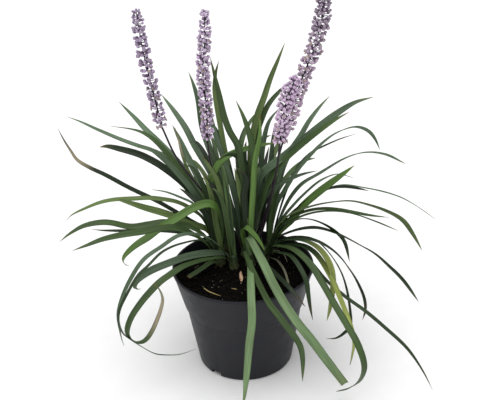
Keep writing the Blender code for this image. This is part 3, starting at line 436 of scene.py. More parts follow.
# Each flower spike: the routes of its stalk and head, the head's radius and how crowded its buds
# are as in the frame, then the buds' colours at the head's foot and tip, how many buds each whorl
# has at foot and tip, and the share of open florets at the foot
SPIKES = {
    "left": {
        "scape": [(-10, 49, 132), (-24, 48, 168), (-50, 45, 212), (-74, 39, 254), (-88, 32, 297)],
        "head": [(-88, 32, 297), (-95, 30, 343), (-102, 30, 389), (-106, 30, 435)],
        "radius": 7.6,
        "crowding": 0.95,
        "colours": ("#927d9b", "#857293"),
        "buds": (6, 8),
        "open": 0.2,
    },
    "centre": {
        "scape": [(-5, 49, 132), (-21, 48, 180), (-34, 45, 238), (-37, 41, 277)],
        "head": [(-37, 41, 277), (-36, 39, 313), (-38, 38, 361), (-34, 38, 395), (-32, 38, 430)],
        "radius": 7.4,
        "crowding": 1.0,
        "colours": ("#b098b6", "#b29dba"),
        "buds": (7, 9),
        "open": 0.2,
    },
    "right_long": {
        "scape": [(12, 46, 132), (20, 47, 150), (30, 47, 174), (39, 47, 212), (48, 46, 254), (56, 45, 282)],
        "head": [(56, 45, 282), (64, 44, 310), (74, 43, 345), (89, 42, 385), (97, 42, 420), (99, 42, 450)],
        "radius": 9.2,
        "crowding": 1.0,
        "colours": ("#d6b9d2", "#4a3d53"),
        "buds": (8, 10),
        "open": 0.22,
    },
    "right_short": {
        "scape": [(18, 33, 132), (28, 31, 170), (38, 25, 215), (44, 19, 250), (47, 15, 280)],
        "head": [(47, 15, 280), (50, 15, 305), (55, 15, 330), (61, 15, 346), (67, 15, 358)],
        "radius": 8.8,
        "crowding": 1.1,
        "colours": ("#c7abc9", "#c3a8c6"),
        "buds": (9, 10),
        "open": 0.3,
    },
}

# Camera
CAMERA_ELEVATION = 26.6
CAMERA_DISTANCE = 1000.0
CAMERA_TARGET = (10.9, 0.0, 215.4)
CAMERA_ROLL = -1.76
CAMERA_LENS = 62.07
CAMERA_SENSOR = 36.0

FLOOR_HALF = 6000.0

# Light: a wide soft sun from above and a little to the left, and even white air all round
SUN_FROM = (-0.12, -0.15, 1.0)
SUN_SPREAD = 70.0
SUN_STRENGTH = 2.0
WORLD_STRENGTH = 0.6

# Greens of the leaves; 'shade' is a painted shade, the darkest green, for leaves that lie in the shade of
# others
LEAF_TONES = {
    "shade": "#1d2a17",
    "dark": "#293a20",
    "mid": "#40552f",
    "grey": "#556950",
    "olive": "#56683a",
    "bright": "#567437",
    "pale": "#657c55",
    "yellow": "#86914c",
}
LEAF_BASE = "#5d6a3e"
LEAF_TIP = "#7f8248"
BROWN_TIP = "#6f4f2c"
DRY_PATCH = "#a39880"
WITHERED_END = "#4a4034"
CROWN_BASE = "#56583a"
CROWN_TOP = "#2c3b24"
CROWN_BLEND = (1.6, 0.3)     # how fast a crown turns green with its height, less a start

# How the greens change along a leaf, with places and lengths as shares of its length
CROWN_PAINTED_SHADE = 0.7            # painted shade: how dark a leaf is at its crown, where the fan shades it, as a share of its own tone
CROWN_PAINTED_SHADE_END = 0.4
BASE_BLEND = (0.45, 0.12)    # the strength at the crown, and where it ends
TIP_BLEND = (0.25, 0.9, 0.1)          # strength, start and length
YELLOW_BLEND = (0.4, 0.2)             # start and length
DRY_BAND = (1.4, 0.86, 0.08)          # strength, middle and half length
WITHERED_BLEND = (0.85, 0.1)          # start and length
BROWN_FADE = 0.4             # the part of a brown tip in which the colour changes
BROWN_LENGTHS = (0.0, 0.0, 0.0, 0.0, 0.03)    # one leaf in five has a brown tip
LEAF_SHADES = (0.75, 1.25)   # the darkest and lightest leaf, as a share of its tone

# Colours of the buds and florets
BUD_BASE = "#5a3f60"
BUD_BASE_BLEND = 0.5
BUD_LIGHT = "#ecdcee"
BUD_LIGHT_BLEND = 0.25
PETAL_LIGHT = "#efe6f4"
PETAL_LIGHT_BLEND = 0.45
PEDICEL_COLOUR = "#70557a"
ANTHER_COLOUR = "#d9c070"

# The part of a noise pattern's range that a material uses
NOISE_SPAN = {"From Min": 0.3, "From Max": 0.7}


# Meshes

def make_piece(name, points, faces, material, smooth=True):
    """A mesh object from points in millimetres."""
    mesh = bpy.data.meshes.new(name)
    mesh.from_pydata([Vector(point) * MM for point in points], [], faces)
    mesh.materials.append(material)
    obj = bpy.data.objects.new(name, mesh)
    bpy.context.scene.collection.objects.link(obj)
    if smooth:
        mesh.shade_smooth()
    return obj


def face_outward(obj):
    edit = bmesh.new()
    edit.from_mesh(obj.data)
    bmesh.ops.recalc_face_normals(edit, faces=edit.faces)
    edit.to_mesh(obj.data)
    edit.free()


def paint(obj, name, colours):
    """Gives each vertex a colour of its own, which the material reads by the name."""
    layer = obj.data.attributes.new(name, "FLOAT_COLOR", "POINT")
    layer.data.foreach_set("color", [value for colour in colours for value in colour])


def lay_out(obj, places):
    """A UV map in metres across and along the piece, for patterns that follow it."""
    layer = obj.data.uv_layers.new(name="grain")
    for loop in obj.data.loops:
        across, along = places[loop.vertex_index]
        layer.data[loop.index].uv = (across * MM, along * MM)


def apply_cut(obj, collection):
    modifier = obj.modifiers.new("cut", "BOOLEAN")
    modifier.operation = "DIFFERENCE"
    modifier.operand_type = "COLLECTION"
    modifier.collection = collection
    modifier.solver = "EXACT"
    bpy.context.view_layer.update()
    graph = bpy.context.evaluated_depsgraph_get()
    result = bpy.data.meshes.new_from_object(obj.evaluated_get(graph))
    obj.modifiers.clear()
    obj.data = result
    for part in list(collection.objects):
        bpy.data.objects.remove(part, do_unlink=True)
    bpy.data.collections.remove(collection)


def ring_quads(sides, rings, first=0):
    """The quads that join each ring of points to the next, from the first point's number."""
    faces = []
    for ring in range(rings):
        low = first + ring * sides
        high = low + sides
        for side in range(sides):
            following = (side + 1) % sides
            faces.append((low + side, low + following, high + following, high + side))
    return faces


def end_faces(sides, rings, first=0):
    """The two faces that close the first and the last ring."""
    last = first + rings * sides
    return [tuple(range(first, first + sides))[::-1], tuple(range(last, last + sides))]


def bar_faces(sides, rings):
    """The faces of a closed bar: its foot, its sides and its end."""
    foot, end = end_faces(sides, rings)
    return [foot, *ring_quads(sides, rings), end]


def turned_faces(rows, sides, first=0):
    """The faces of a turned form, whose first and last rows are single points on its axis."""
    last = first + 1 + (rows - 2) * sides
    faces = []
    for side in range(sides):
        following = (side + 1) % sides
        faces.append((first, first + 1 + following, first + 1 + side))
        for ring in range(rows - 3):
            low = first + 1 + ring * sides
            high = low + sides
            faces.append((low + side, low + following, high + following, high + side))
        faces.append((last, last - sides + side, last - sides + following))
    return faces


def turned_mesh(profile, sides):
    """Points and faces turned from a profile of (radius, height) that starts and ends on the axis."""
    points = [(0.0, 0.0, profile[0][1])]
    for radius, height in profile[1:-1]:
        for side in range(sides):
            angle = math.tau * side / sides
            points.append((radius * math.cos(angle), radius * math.sin(angle), height))
    points.append((0.0, 0.0, profile[-1][1]))
    return points, turned_faces(len(profile), sides)


# Curves

def smooth_route(points, step=1.5):
    """Points about one step apart along a smooth curve through the given points."""
    knots = [Vector(point) for point in points]
    tangents = []
    for index in range(len(knots)):
        before = knots[max(index - 1, 0)]
        after = knots[min(index + 1, len(knots) - 1)]
        tangents.append((after - before).normalized())
    curve = [knots[0]]
    for index in range(len(knots) - 1):
        start, end = knots[index], knots[index + 1]
        span = (end - start).length
        count = max(2, round(span / step))
        for part in range(1, count + 1):
            t = part / count
            curve.append(
                start * (2 * t**3 - 3 * t**2 + 1)
                + end * (3 * t**2 - 2 * t**3)
                + tangents[index] * span * (t**3 - 2 * t**2 + t)
                + tangents[index + 1] * span * (t**3 - t**2)
            )
    return curve


def even_points(curve, count):
    """The curve's points at count equal steps of its length, both ends included."""
    reached = [0.0]
    for before, after in zip(curve, curve[1:]):
        reached.append(reached[-1] + (after - before).length)
    picked = []
    index = 0
    for part in range(count + 1):
        wanted = reached[-1] * part / count
        while index < len(curve) - 2 and reached[index + 1] < wanted:
            index += 1
        share = (wanted - reached[index]) / max(reached[index + 1] - reached[index], 1e-9)
        picked.append(curve[index].lerp(curve[index + 1], min(max(share, 0.0), 1.0)))
    return picked


def curve_length(curve):
    return sum((after - before).length for before, after in zip(curve, curve[1:]))


def total_turn(curve):
    turn = 0.0
    for before, here, after in zip(curve, curve[1:], curve[2:]):
        turn += (here - before).angle(after - here, 0.0)
    return math.degrees(turn)


def carried_frames(points, side):
    """The tangent and the sideways direction at each point, with no twist added."""
    frames = []
    for index in range(len(points)):
        before = points[max(index - 1, 0)]
        after = points[min(index + 1, len(points) - 1)]
        tangent = (after - before).normalized()
        side = (side - tangent * side.dot(tangent)).normalized()
        frames.append((tangent, side))
    return frames


def tube_mesh(curve, radii, sides, count=None):
    """A closed round bar along a curve, whose radius runs from radii[0] to radii[1]."""
    count = count or max(3, round(curve_length(curve) / TUBE_STEP))
    stations = even_points(curve, count)
    frames = carried_frames(stations, Vector(STALK_SIDEWAYS))
    points = []
    for index, (tangent, across) in enumerate(frames):
        other = tangent.cross(across)
        radius = radii[0] + (radii[1] - radii[0]) * index / count
        for side in range(sides):
            angle = math.tau * side / sides
            points.append(stations[index] + (across * math.cos(angle) + other * math.sin(angle)) * radius)
    return points, bar_faces(sides, count)


# The frame's leaves: where each one lies, bent clear of the others

def leaf_curve(crown, leaf, place, swing=0.0, lift=0.0):
    """The smooth midline of one leaf, from inside its crown to its tip.

    Place runs from -1 to 1: the low outer leaves of a fan to its upright inner ones.
    """
    angle = math.radians(leaf.heading + swing)
    out = Vector((math.cos(angle), math.sin(angle), 0.0))
    side = Vector((-math.sin(angle), math.cos(angle), 0.0))
    centre = Vector((*CROWNS[crown], 0.0))
    shift = out * (-ROOT_SPREAD * place) + side * (ROOT_SIDEWAYS * math.sin(ROOT_WAVES * place))
    up = Vector((0.0, 0.0, 1.0))
    knots = [
        centre + shift * ROOT_DRAWN_IN + up * ROOT_Z,
        centre + shift + up * NECK_Z,
    ]
    for step in leaf.route:
        outward, height = step[0], step[1]
        sideways = step[2] if len(step) > 2 else 0.0
        height += lift * max(height - NECK_Z, 0.0)
        knots.append(centre + out * outward + side * sideways + up * height)
    return smooth_route(knots), side


def root_width(share):
    return ROOT_WIDTH + (1.0 - ROOT_WIDTH) * min(share / ROOT_SHARE, 1.0)


def frame_thickness(share):
    return BLADE_THICK * (1.0 - BLADE_THINNING * share)


def half_width(leaf, share):
    """Half the blade's width at a share of its length: narrow at the root, closing at the tip."""
    past = max(share - TIP_SHARE, 0.0) / (1.0 - TIP_SHARE)
    return leaf.width / 2 * root_width(share) * (1.0 - TIP_LOSS[leaf.tip] * past**TIP_CURVE)


def blade_roll(leaf, share):
    return math.radians(leaf.turn * min(share / ROOT_SHARE, 1.0) + leaf.twist * share**2)


def blade_mesh(leaf, curve, side, margin=0.0):
    """Points and triangles of one thin closed blade: two edges and a keel at each station."""
    count = round(curve_length(curve) / SEGMENT_LENGTH + total_turn(curve) / TURN_PER_SEGMENT)
    count = min(max(count, FEWEST_SEGMENTS), MOST_SEGMENTS)
    stations = even_points(curve, count)
    frames = carried_frames(stations, side)
    cut_short = leaf.tip == "broken"
    rings = count + 1 if cut_short else count
    points = []
    for index in range(rings):
        share = index / count
        tangent, across = frames[index]
        across = across.copy()
        across.rotate(Matrix.Rotation(blade_roll(leaf, share), 3, tangent))
        face = tangent.cross(across)
        half = half_width(leaf, share) + margin
        thick = frame_thickness(share)
        keel = face * (thick + 2 * half * BLADE_KEEL + 2 * margin)
        edge = face * margin
        middle = stations[index] + face * (thick / 2)
        points += [middle - across * half + edge, middle - keel, middle + across * half + edge]
    faces = [(0, 1, 2)]
    for index in range(rings - 1):
        low = 3 * index
        high = low + 3
        for corner, following in ((0, 1), (2, 1), (0, 2)):
            faces.append((low + corner, low + following, high + following))
            faces.append((low + corner, high + following, high + corner))
    last = 3 * (rings - 1)
    if cut_short:
        faces.append((last, last + 1, last + 2))
        return points, faces
    points.append(stations[-1] + frames[-1][0] * margin)
    for corner in range(3):
        faces.append((last + corner, last + (corner + 1) % 3, len(points) - 1))
    return points, faces


def hidden_leaves(crown, draw):
    """Leaves that a seeded rule adds where the others hide them."""
    count, first, last, reaches, rises = HIDDEN_LEAVES.get(crown, (0, 0, 0, (0, 0), (0, 0)))
    leaves = []
    for index in range(count):
        heading = first + (last - first) * (index + draw.uniform(*HIDDEN_PLACE)) / count
        reach = draw.uniform(*reaches)
        rise = draw.uniform(*rises)
        droop = draw.uniform(*HIDDEN_DROOP)
        width = draw.uniform(*HIDDEN_WIDTH)
        turn = HIDDEN_TURN * math.cos(math.radians(heading))
        route = [(reach * along, NECK_Z + rise * up) for along, up in HIDDEN_ROUTE]
        route.append((reach, NECK_Z + rise - droop / 2))
        tone = HIDDEN_TONES[index % len(HIDDEN_TONES)]
        twist = draw.uniform(-HIDDEN_TWIST, HIDDEN_TWIST)
        leaves.append(Leaf(heading, width, turn, twist, route, tone))
    return leaves


def bends(most):
    """Ways to bend a leaf clear, smallest first: a swing in degrees and a lift of its height."""
    costs = []
    for swing in BEND_SWINGS:
        for lift in BEND_LIFTS:
            costs.append((abs(swing) + LIFT_COST * abs(lift), swing, lift))
    return [(swing, lift) for cost, swing, lift in sorted(costs) if cost <= most]


def steepness(leaf):
    """How upright a leaf starts: its height for each millimetre outward, half way along."""
    outward, height = leaf.route[len(leaf.route) // 2][:2]
    return (height - NECK_Z) / max(abs(outward), LEAST_OUTWARD)


def touches(tree, box, placed, own):
    low, high = box
    for name, other, (other_low, other_high) in placed:
        if name == own:
            continue
        if any(low[axis] > other_high[axis] or high[axis] < other_low[axis] for axis in range(3)):
            continue
        if tree.overlap(other):
            return True
    return False


def tree_and_box(points, faces):
    tree = BVHTree.FromPolygons(points, faces)
    low = [min(point[axis] for point in points) for axis in range(3)]
    high = [max(point[axis] for point in points) for axis in range(3)]
    return tree, (low, high)


def plan_leaves():
    """Every leaf with the bend that keeps it clear of the other pieces."""
    placed = []
    for name, spike in SPIKES.items():
        for part, radius in (("scape", SCAPE_RADIUS), ("head", spike["radius"] + HEAD_GUARD)):
            points, faces = tube_mesh(smooth_route(spike[part]), [radius + CLEARANCE] * 2, TUBE_SIDES)
            placed.append((name, *tree_and_box(points, faces)))
    rim_points, rim_faces = rim_guard()
    placed.append(("pot", *tree_and_box(rim_points, rim_faces)))
    for crown in CROWNS:
        points, faces = crown_mesh(crown, CLEARANCE)
        placed.append((crown, *tree_and_box(points, faces)))
    draw = random.Random(HIDDEN_SEED)
    rows = [(crown, Leaf(*row)) for crown in LEAVES for row in LEAVES[crown]]
    rows += [(crown, leaf) for crown in CROWNS for leaf in hidden_leaves(crown, draw)]
    plan = {crown: [] for crown in CROWNS}
    for crown, leaf in rows:
        fan = sorted((other for name, other in rows if name == crown), key=steepness)
        place = 2.0 * fan.index(leaf) / (len(fan) - 1) - 1.0
        chosen = clear_curve(crown, leaf, place, placed, SMALL_BEND, apart=True)
        if chosen is None:
            chosen = clear_curve(crown, leaf, place, placed, LARGEST_BEND, apart=False)
        if chosen is None:
            continue
        curve, side = chosen
        whole = tree_and_box(*blade_mesh(leaf, curve, side, CLEARANCE))
        free = tree_and_box(*blade_mesh(leaf, free_part(curve), side, OWN_CLEARANCE))
        placed.append((crown, *whole))
        placed.append((crown + "_free", *free))
        plan[crown].append((leaf, curve, side))
    return plan


def free_part(curve):
    """The curve without its lowest stretch, where the leaves of a fan grow as one."""
    return curve[JOINED_STEPS:]


def clear_curve(crown, leaf, place, placed, most, apart):
    """The least bent midline that keeps clear, also of the leaf's own fan where it is kept apart."""
    for swing, lift in bends(most):
        curve, side = leaf_curve(crown, leaf, place, swing, lift)
        tree, box = tree_and_box(*blade_mesh(leaf, curve, side, CLEARANCE))
        others = [row for row in placed if not row[0].endswith("_free")]
        if touches(tree, box, others, crown):
            continue
        if apart:
            own = [row for row in placed if row[0] == crown + "_free"]
            tree, box = tree_and_box(*blade_mesh(leaf, free_part(curve), side, OWN_CLEARANCE))
            if touches(tree, box, own, crown):
                continue
        return curve, side
    return None


def crown_mesh(crown, margin=0.0):
    """The frame's short stem of sheathed leaf bases."""
    x, y = CROWNS[crown]
    rows = [
        (CROWN_RADIUS + margin, CROWN_FOOT_Z),
        (CROWN_RADIUS + margin, NECK_Z),
        (CROWN_RADIUS * CROWN_TOP_SHARE + margin, CROWN_TOP_Z),
    ]
    points = []
    for radius, height in rows:
        for side in range(CROWN_SIDES):
            angle = math.tau * side / CROWN_SIDES
            points.append(Vector((x + radius * math.cos(angle), y + radius * math.sin(angle), height)))
    return points, bar_faces(CROWN_SIDES, len(rows) - 1)


def rim_guard():
    """The pot's wall as the leaves have to clear it, a little larger than the real one."""
    sides = GUARD_SIDES
    inside = RIM_RADIUS - WALL - LIP_STEP - GUARD
    profile = [
        (inside, POT_HEIGHT - GUARD_DEPTH),
        (inside, POT_HEIGHT + GUARD),
        (RIM_RADIUS + GUARD, POT_HEIGHT + GUARD),
        (SKIRT_FOOT_RADIUS + GUARD, POT_HEIGHT - SKIRT_DEPTH),
        (BODY_BASE_RADIUS + GUARD, 0.0),
    ]
    points = []
    for radius, height in profile:
        for side in range(sides):
            angle = math.tau * side / sides
            points.append(Vector((radius * math.cos(angle), radius * math.sin(angle), height)))
    return points, ring_quads(sides, len(profile) - 1)


# Materials

def linear(hex_colour):
    """An sRGB hex value as linear red, green, blue and alpha."""
    colour = []
    for index in (1, 3, 5):
        value = int(hex_colour[index:index + 2], 16) / 255
        colour.append(value / 12.92 if value <= 0.04045 else ((value + 0.055) / 1.055) ** 2.4)
    return colour + [1.0]


def blend_colours(first, second, share):
    share = min(max(share, 0.0), 1.0)
    return [a + (b - a) * share for a, b in zip(first, second)]


def add_node(material, kind, settings=None, inputs=None):
    """Adds a shader node with its settings. An input takes a value or another node's output."""
    tree = material.node_tree
    new = tree.nodes.new(kind)
    for name, value in (settings or {}).items():
        setattr(new, name, value)
    for name, value in (inputs or {}).items():
        if isinstance(value, bpy.types.NodeSocket):
            tree.links.new(value, new.inputs[name])
        else:
            new.inputs[name].default_value = value
    return new


def new_material(name, **surface):
    """A material with one Principled surface, whose sockets are set by their names."""
    material = bpy.data.materials.new(name)
    material.use_nodes = True
    shader = material.node_tree.nodes["Principled BSDF"]
    for socket, value in surface.items():
        shader.inputs[socket.replace("_", " ")].default_value = value
    return material, shader


def join(material, output, shader, socket):
    material.node_tree.links.new(output, shader.inputs[socket])


def living_leaf():
    """Fresh strap leaf with a waxy cuticle: fine lengthwise ribs, a soft grey sheen where it faces
    the light, and streaks of lighter and darker green."""
    material, shader = new_material("living_leaf_waxy_cuticle", Roughness=0.45, IOR=1.4,
                                    Specular_IOR_Level=0.35)
    tint = add_node(material, "ShaderNodeVertexColor", {"layer_name": "tint"})
    place = add_node(material, "ShaderNodeUVMap", {"uv_map": "grain"})
    # Ribs lie 0.35 mm apart on the real leaf and are drawn 1.1 mm apart so that they show
    streaks = add_node(material, "ShaderNodeMapping", {},
                       {"Vector": place.outputs[0], "Scale": (900.0, 22.0, 1.0)})
    rib = add_node(material, "ShaderNodeTexNoise", {"noise_dimensions": "2D"},
                   {"Vector": streaks.outputs[0], "Scale": 1.0, "Detail": 2.0, "Roughness": 0.5})
    patches = add_node(material, "ShaderNodeMapping", {},
                       {"Vector": place.outputs[0], "Scale": (120.0, 18.0, 1.0)})
    patch = add_node(material, "ShaderNodeTexNoise", {"noise_dimensions": "2D"},
                     {"Vector": patches.outputs[0], "Scale": 1.0, "Detail": 3.0})
    lines = add_node(material, "ShaderNodeMapRange", {},
                     {"Value": rib.outputs[0], **NOISE_SPAN, "To Min": 0.78, "To Max": 1.2})
    cloud = add_node(material, "ShaderNodeMapRange", {},
                     {"Value": patch.outputs[0], **NOISE_SPAN, "To Min": 0.82, "To Max": 1.16})
    strength = add_node(material, "ShaderNodeMath", {"operation": "MULTIPLY"},
                        {0: lines.outputs[0], 1: cloud.outputs[0]})
    green = add_node(material, "ShaderNodeVectorMath", {"operation": "SCALE"},
                     {0: tint.outputs[0], "Scale": strength.outputs[0]})
    join(material, green.outputs[0], shader, "Base Color")
    gloss = add_node(material, "ShaderNodeMapRange", {},
                     {"Value": rib.outputs[0], **NOISE_SPAN, "To Min": 0.55, "To Max": 0.42})
    join(material, gloss.outputs[0], shader, "Roughness")
    bump = add_node(material, "ShaderNodeBump", {},
                    {"Height": rib.outputs[0], "Strength": 0.35, "Distance": 0.00025})
    join(material, bump.outputs[0], shader, "Normal")
    return material


def aubergine_stalk():
    """Flower stalk: a smooth living skin, nearly black with purple in it, faintly ribbed."""
    material, shader = new_material("flower_stalk_smooth_skin", Roughness=0.45, IOR=1.4)
    place = add_node(material, "ShaderNodeTexCoord")
    ribs = add_node(material, "ShaderNodeMapping", {},
                    {"Vector": place.outputs["Object"], "Scale": (900.0, 900.0, 40.0)})
    pattern = add_node(material, "ShaderNodeTexNoise", {},
                       {"Vector": ribs.outputs[0], "Scale": 1.0, "Detail": 2.0})
    colour = add_node(material, "ShaderNodeMix", {"data_type": "RGBA"},
                      {0: pattern.outputs[0], 6: linear("#140d14"), 7: linear("#33232f")})
    join(material, colour.outputs[2], shader, "Base Color")
    bump = add_node(material, "ShaderNodeBump", {},
                    {"Height": pattern.outputs[0], "Strength": 0.3, "Distance": 0.0002})
    join(material, bump.outputs[0], shader, "Normal")
    return material


def bud_petal():
    """Lilac bud: thin fleshy petals with a velvet bloom, darker at the base of each bud."""
    material, shader = new_material("flower_bud_fleshy_petal", Roughness=0.55, IOR=1.38,
                                    Subsurface_Weight=0.15, Subsurface_Scale=0.002)
    shader.inputs["Subsurface Radius"].default_value = (1.0, 0.6, 0.9)
    tint = add_node(material, "ShaderNodeVertexColor", {"layer_name": "tint"})
    place = add_node(material, "ShaderNodeTexCoord")
    # Speckle about 0.8 mm across, from the petals' veins
    speckle = add_node(material, "ShaderNodeTexNoise", {},
                       {"Vector": place.outputs["Object"], "Scale": 1200.0, "Detail": 2.0})
    shade = add_node(material, "ShaderNodeMapRange", {},
                     {"Value": speckle.outputs[0], **NOISE_SPAN, "To Min": 0.85, "To Max": 1.15})
    colour = add_node(material, "ShaderNodeVectorMath", {"operation": "SCALE"},
                      {0: tint.outputs[0], "Scale": shade.outputs[0]})
    join(material, colour.outputs[0], shader, "Base Color")
    return material


def moulded_polypropylene():
    """Nursery pot: injection-moulded charcoal polypropylene, satin, with a fine moulded texture,
    faint scuffs and a trace of dried dust."""
    material, shader = new_material("pot_moulded_polypropylene", Roughness=0.5, IOR=1.49,
                                    Specular_IOR_Level=0.28)
    place = add_node(material, "ShaderNodeTexCoord")
    # Scuffs and dust in patches about 15 mm across
    dust = add_node(material, "ShaderNodeTexNoise", {},
                    {"Vector": place.outputs["Object"], "Scale": 65.0, "Detail": 6.0, "Roughness": 0.6})
    colour = add_node(material, "ShaderNodeMix", {"data_type": "RGBA"},
                      {0: dust.outputs[0], 6: linear("#101117"), 7: linear("#1d1d26")})
    join(material, colour.outputs[2], shader, "Base Color")
    gloss = add_node(material, "ShaderNodeMapRange", {},
                     {"Value": dust.outputs[0], **NOISE_SPAN, "To Min": 0.42, "To Max": 0.58})
    join(material, gloss.outputs[0], shader, "Roughness")
    # The mould's spark-eroded texture, drawn 1.2 mm coarse so that it shows
    grain = add_node(material, "ShaderNodeTexNoise", {},
                     {"Vector": place.outputs["Object"], "Scale": 850.0, "Detail": 2.0})
    bump = add_node(material, "ShaderNodeBump", {},
                    {"Height": grain.outputs[0], "Strength": 0.12, "Distance": 0.0002})
    join(material, bump.outputs[0], shader, "Normal")
    return material


def peat_soil():
    """Damp peat: nearly black brown crumbs, matte, with lighter fibres."""
    material, shader = new_material("soil_damp_peat", Roughness=0.9, IOR=1.4, Specular_IOR_Level=0.1)
    place = add_node(material, "ShaderNodeTexCoord")
    crumbs = add_node(material, "ShaderNodeTexNoise", {},
                      {"Vector": place.outputs["Object"], "Scale": 420.0, "Detail": 5.0, "Roughness": 0.7})
    ramp = add_node(material, "ShaderNodeValToRGB", {}, {0: crumbs.outputs[0]})
    ramp.color_ramp.elements[0].position = 0.38
    ramp.color_ramp.elements[0].color = linear("#030303")
    ramp.color_ramp.elements[1].position = 0.75
    ramp.color_ramp.elements[1].color = linear("#18130f")
    join(material, ramp.outputs[0], shader, "Base Color")
    bump = add_node(material, "ShaderNodeBump", {},
                    {"Height": crumbs.outputs[0], "Strength": 0.8, "Distance": 0.001})
    join(material, bump.outputs[0], shader, "Normal")
    return material


def plain_grain(name, light, dark, scale):
    """A small natural scrap with an uneven colour: bark, straw or an expanded mineral grain."""
    material, shader = new_material(name, Roughness=0.8)
    place = add_node(material, "ShaderNodeTexCoord")
    pattern = add_node(material, "ShaderNodeTexNoise", {},
                       {"Vector": place.outputs["Object"], "Scale": scale, "Detail": 4.0})
    colour = add_node(material, "ShaderNodeMix", {"data_type": "RGBA"},
                      {0: pattern.outputs[0], 6: linear(dark), 7: linear(light)})
    join(material, colour.outputs[2], shader, "Base Color")
    bump = add_node(material, "ShaderNodeBump", {},
                    {"Height": pattern.outputs[0], "Strength": 0.5, "Distance": 0.0004})
    join(material, bump.outputs[0], shader, "Normal")
    return material


def studio_paper():
    """The floor: smooth white background paper."""
    material, shader = new_material("studio_paper_matte", Roughness=0.95)
    place = add_node(material, "ShaderNodeTexCoord")
    pattern = add_node(material, "ShaderNodeTexNoise", {},
                       {"Vector": place.outputs["Object"], "Scale": 30.0})
    colour = add_node(material, "ShaderNodeMix", {"data_type": "RGBA"},
                      {0: pattern.outputs[0], 6: linear("#f4f4f4"), 7: linear("#fafafa")})
    join(material, colour.outputs[2], shader, "Base Color")
    return material


# Leaves

def fine_half_width(leaf, share):
    """The frame's width, with a tip that closes in a smooth point or stays cut off short."""
    past = max(share - FINE_TIP_SHARE, 0.0) / (1.0 - FINE_TIP_SHARE)
    if leaf.tip == "broken":
        tip = 1.0 - BROKEN_LOSS * past**2
    else:
        rise, ease = BLUNT_CURVE if leaf.tip == "blunt" else POINT_CURVE
        tip = (1.0 - past**rise) ** ease
    return max(leaf.width / 2 * root_width(share) * tip, LEAST_HALF_WIDTH)


def leaf_tint(leaf, share, shade, browned):
    """The colour of a leaf at a share of its length."""
    # Painted shade: the green darkens towards the crown, where the other leaves shade it
    shade *= CROWN_PAINTED_SHADE + (1.0 - CROWN_PAINTED_SHADE) * min(share / CROWN_PAINTED_SHADE_END, 1.0)
    colour = [value * shade for value in linear(LEAF_TONES[leaf.tone])[:3]] + [1.0]
    strength, end = BASE_BLEND
    colour = blend_colours(colour, linear(LEAF_BASE), strength * (1.0 - share / end))
    strength, start, length = TIP_BLEND
    colour = blend_colours(colour, linear(LEAF_TIP), strength * (share - start) / length)
    if leaf.tone == "yellow":
        start, length = YELLOW_BLEND
        colour = blend_colours(linear(LEAF_TONES["dark"]), colour, (share - start) / length)
    if leaf.tip == "dry":
        strength, middle, half_length = DRY_BAND
        colour = blend_colours(colour, linear(DRY_PATCH), strength - abs(share - middle) / half_length)
    if leaf.tip == "brown":
        start, length = WITHERED_BLEND
        colour = blend_colours(colour, linear(WITHERED_END), (share - start) / length)
    if browned:
        brown = (share - 1.0 + browned) / (BROWN_FADE * browned)
        colour = blend_colours(colour, linear(BROWN_TIP), brown)
    return colour


def add_fine_blade(fan, leaf, curve, side, draw):
    """Adds one leaf to a fan: a ribbed blade with a shallow channel above and a keel below."""
    points, faces, tints, places = fan
    length = curve_length(curve)
    count = max(FEWEST_STATIONS, round(length / STATION_STEP))
    stations = even_points(curve, count)
    frames = carried_frames(stations, side)
    shade = draw.uniform(*LEAF_SHADES)
    browned = draw.choice(BROWN_LENGTHS)
    seed = draw.uniform(0.0, NOISE_REACH)
    first = len(points)
    top = len(SECTION)
    ring = 2 * top - 2
    for index in range(count + 1):
        share = index / count
        tangent, across = frames[index]
        across = across.copy()
        wobble = math.radians(WOBBLE) * noise.noise(Vector((seed, share * WOBBLE_WAVES, 0.0)))
        across.rotate(Matrix.Rotation(blade_roll(leaf, share) + wobble, 3, tangent))
        face = tangent.cross(across)
        half = fine_half_width(leaf, share)
        frame_thick = frame_thickness(share)
        thick = FINE_THICK * min(1.0, half / THINNER_BELOW)
        depth = frame_thick / 2 + 2 * half * BLADE_KEEL - thick * 0.5
        middle = stations[index] + face * (frame_thick * MIDDLE_RISE)
        upper = []
        lower = []
        for step, u in enumerate(SECTION):
            along = Vector((seed + EDGE_WAVE_OFFSET, share * length * EDGE_WAVES_PER_MM, u))
            wave = EDGE_WAVE * u * abs(u) * noise.noise(along)
            rib = RIB_RELIEF * (-1) ** step * min(1.0, half / RIBS_FADE_BELOW)
            sink = depth * (1.0 - abs(u) ** CHANNEL_CURVE)
            body = thick * (1.0 - EDGE_THINNING * u * u)
            place = middle + across * (half * u) + face * (wave + rib - sink)
            upper.append(place + face * (body / 2))
            lower.append(place - face * (body / 2))
        points += upper + lower[-2:0:-1]
        tint = leaf_tint(leaf, share, shade, browned)
        for u in list(SECTION) + list(SECTION[-2:0:-1]):
            tints.append(tint)
            places.append((half * u + seed * GRAIN_SHIFT, share * length))
    faces += ring_quads(ring, count, first) + end_faces(ring, count, first)


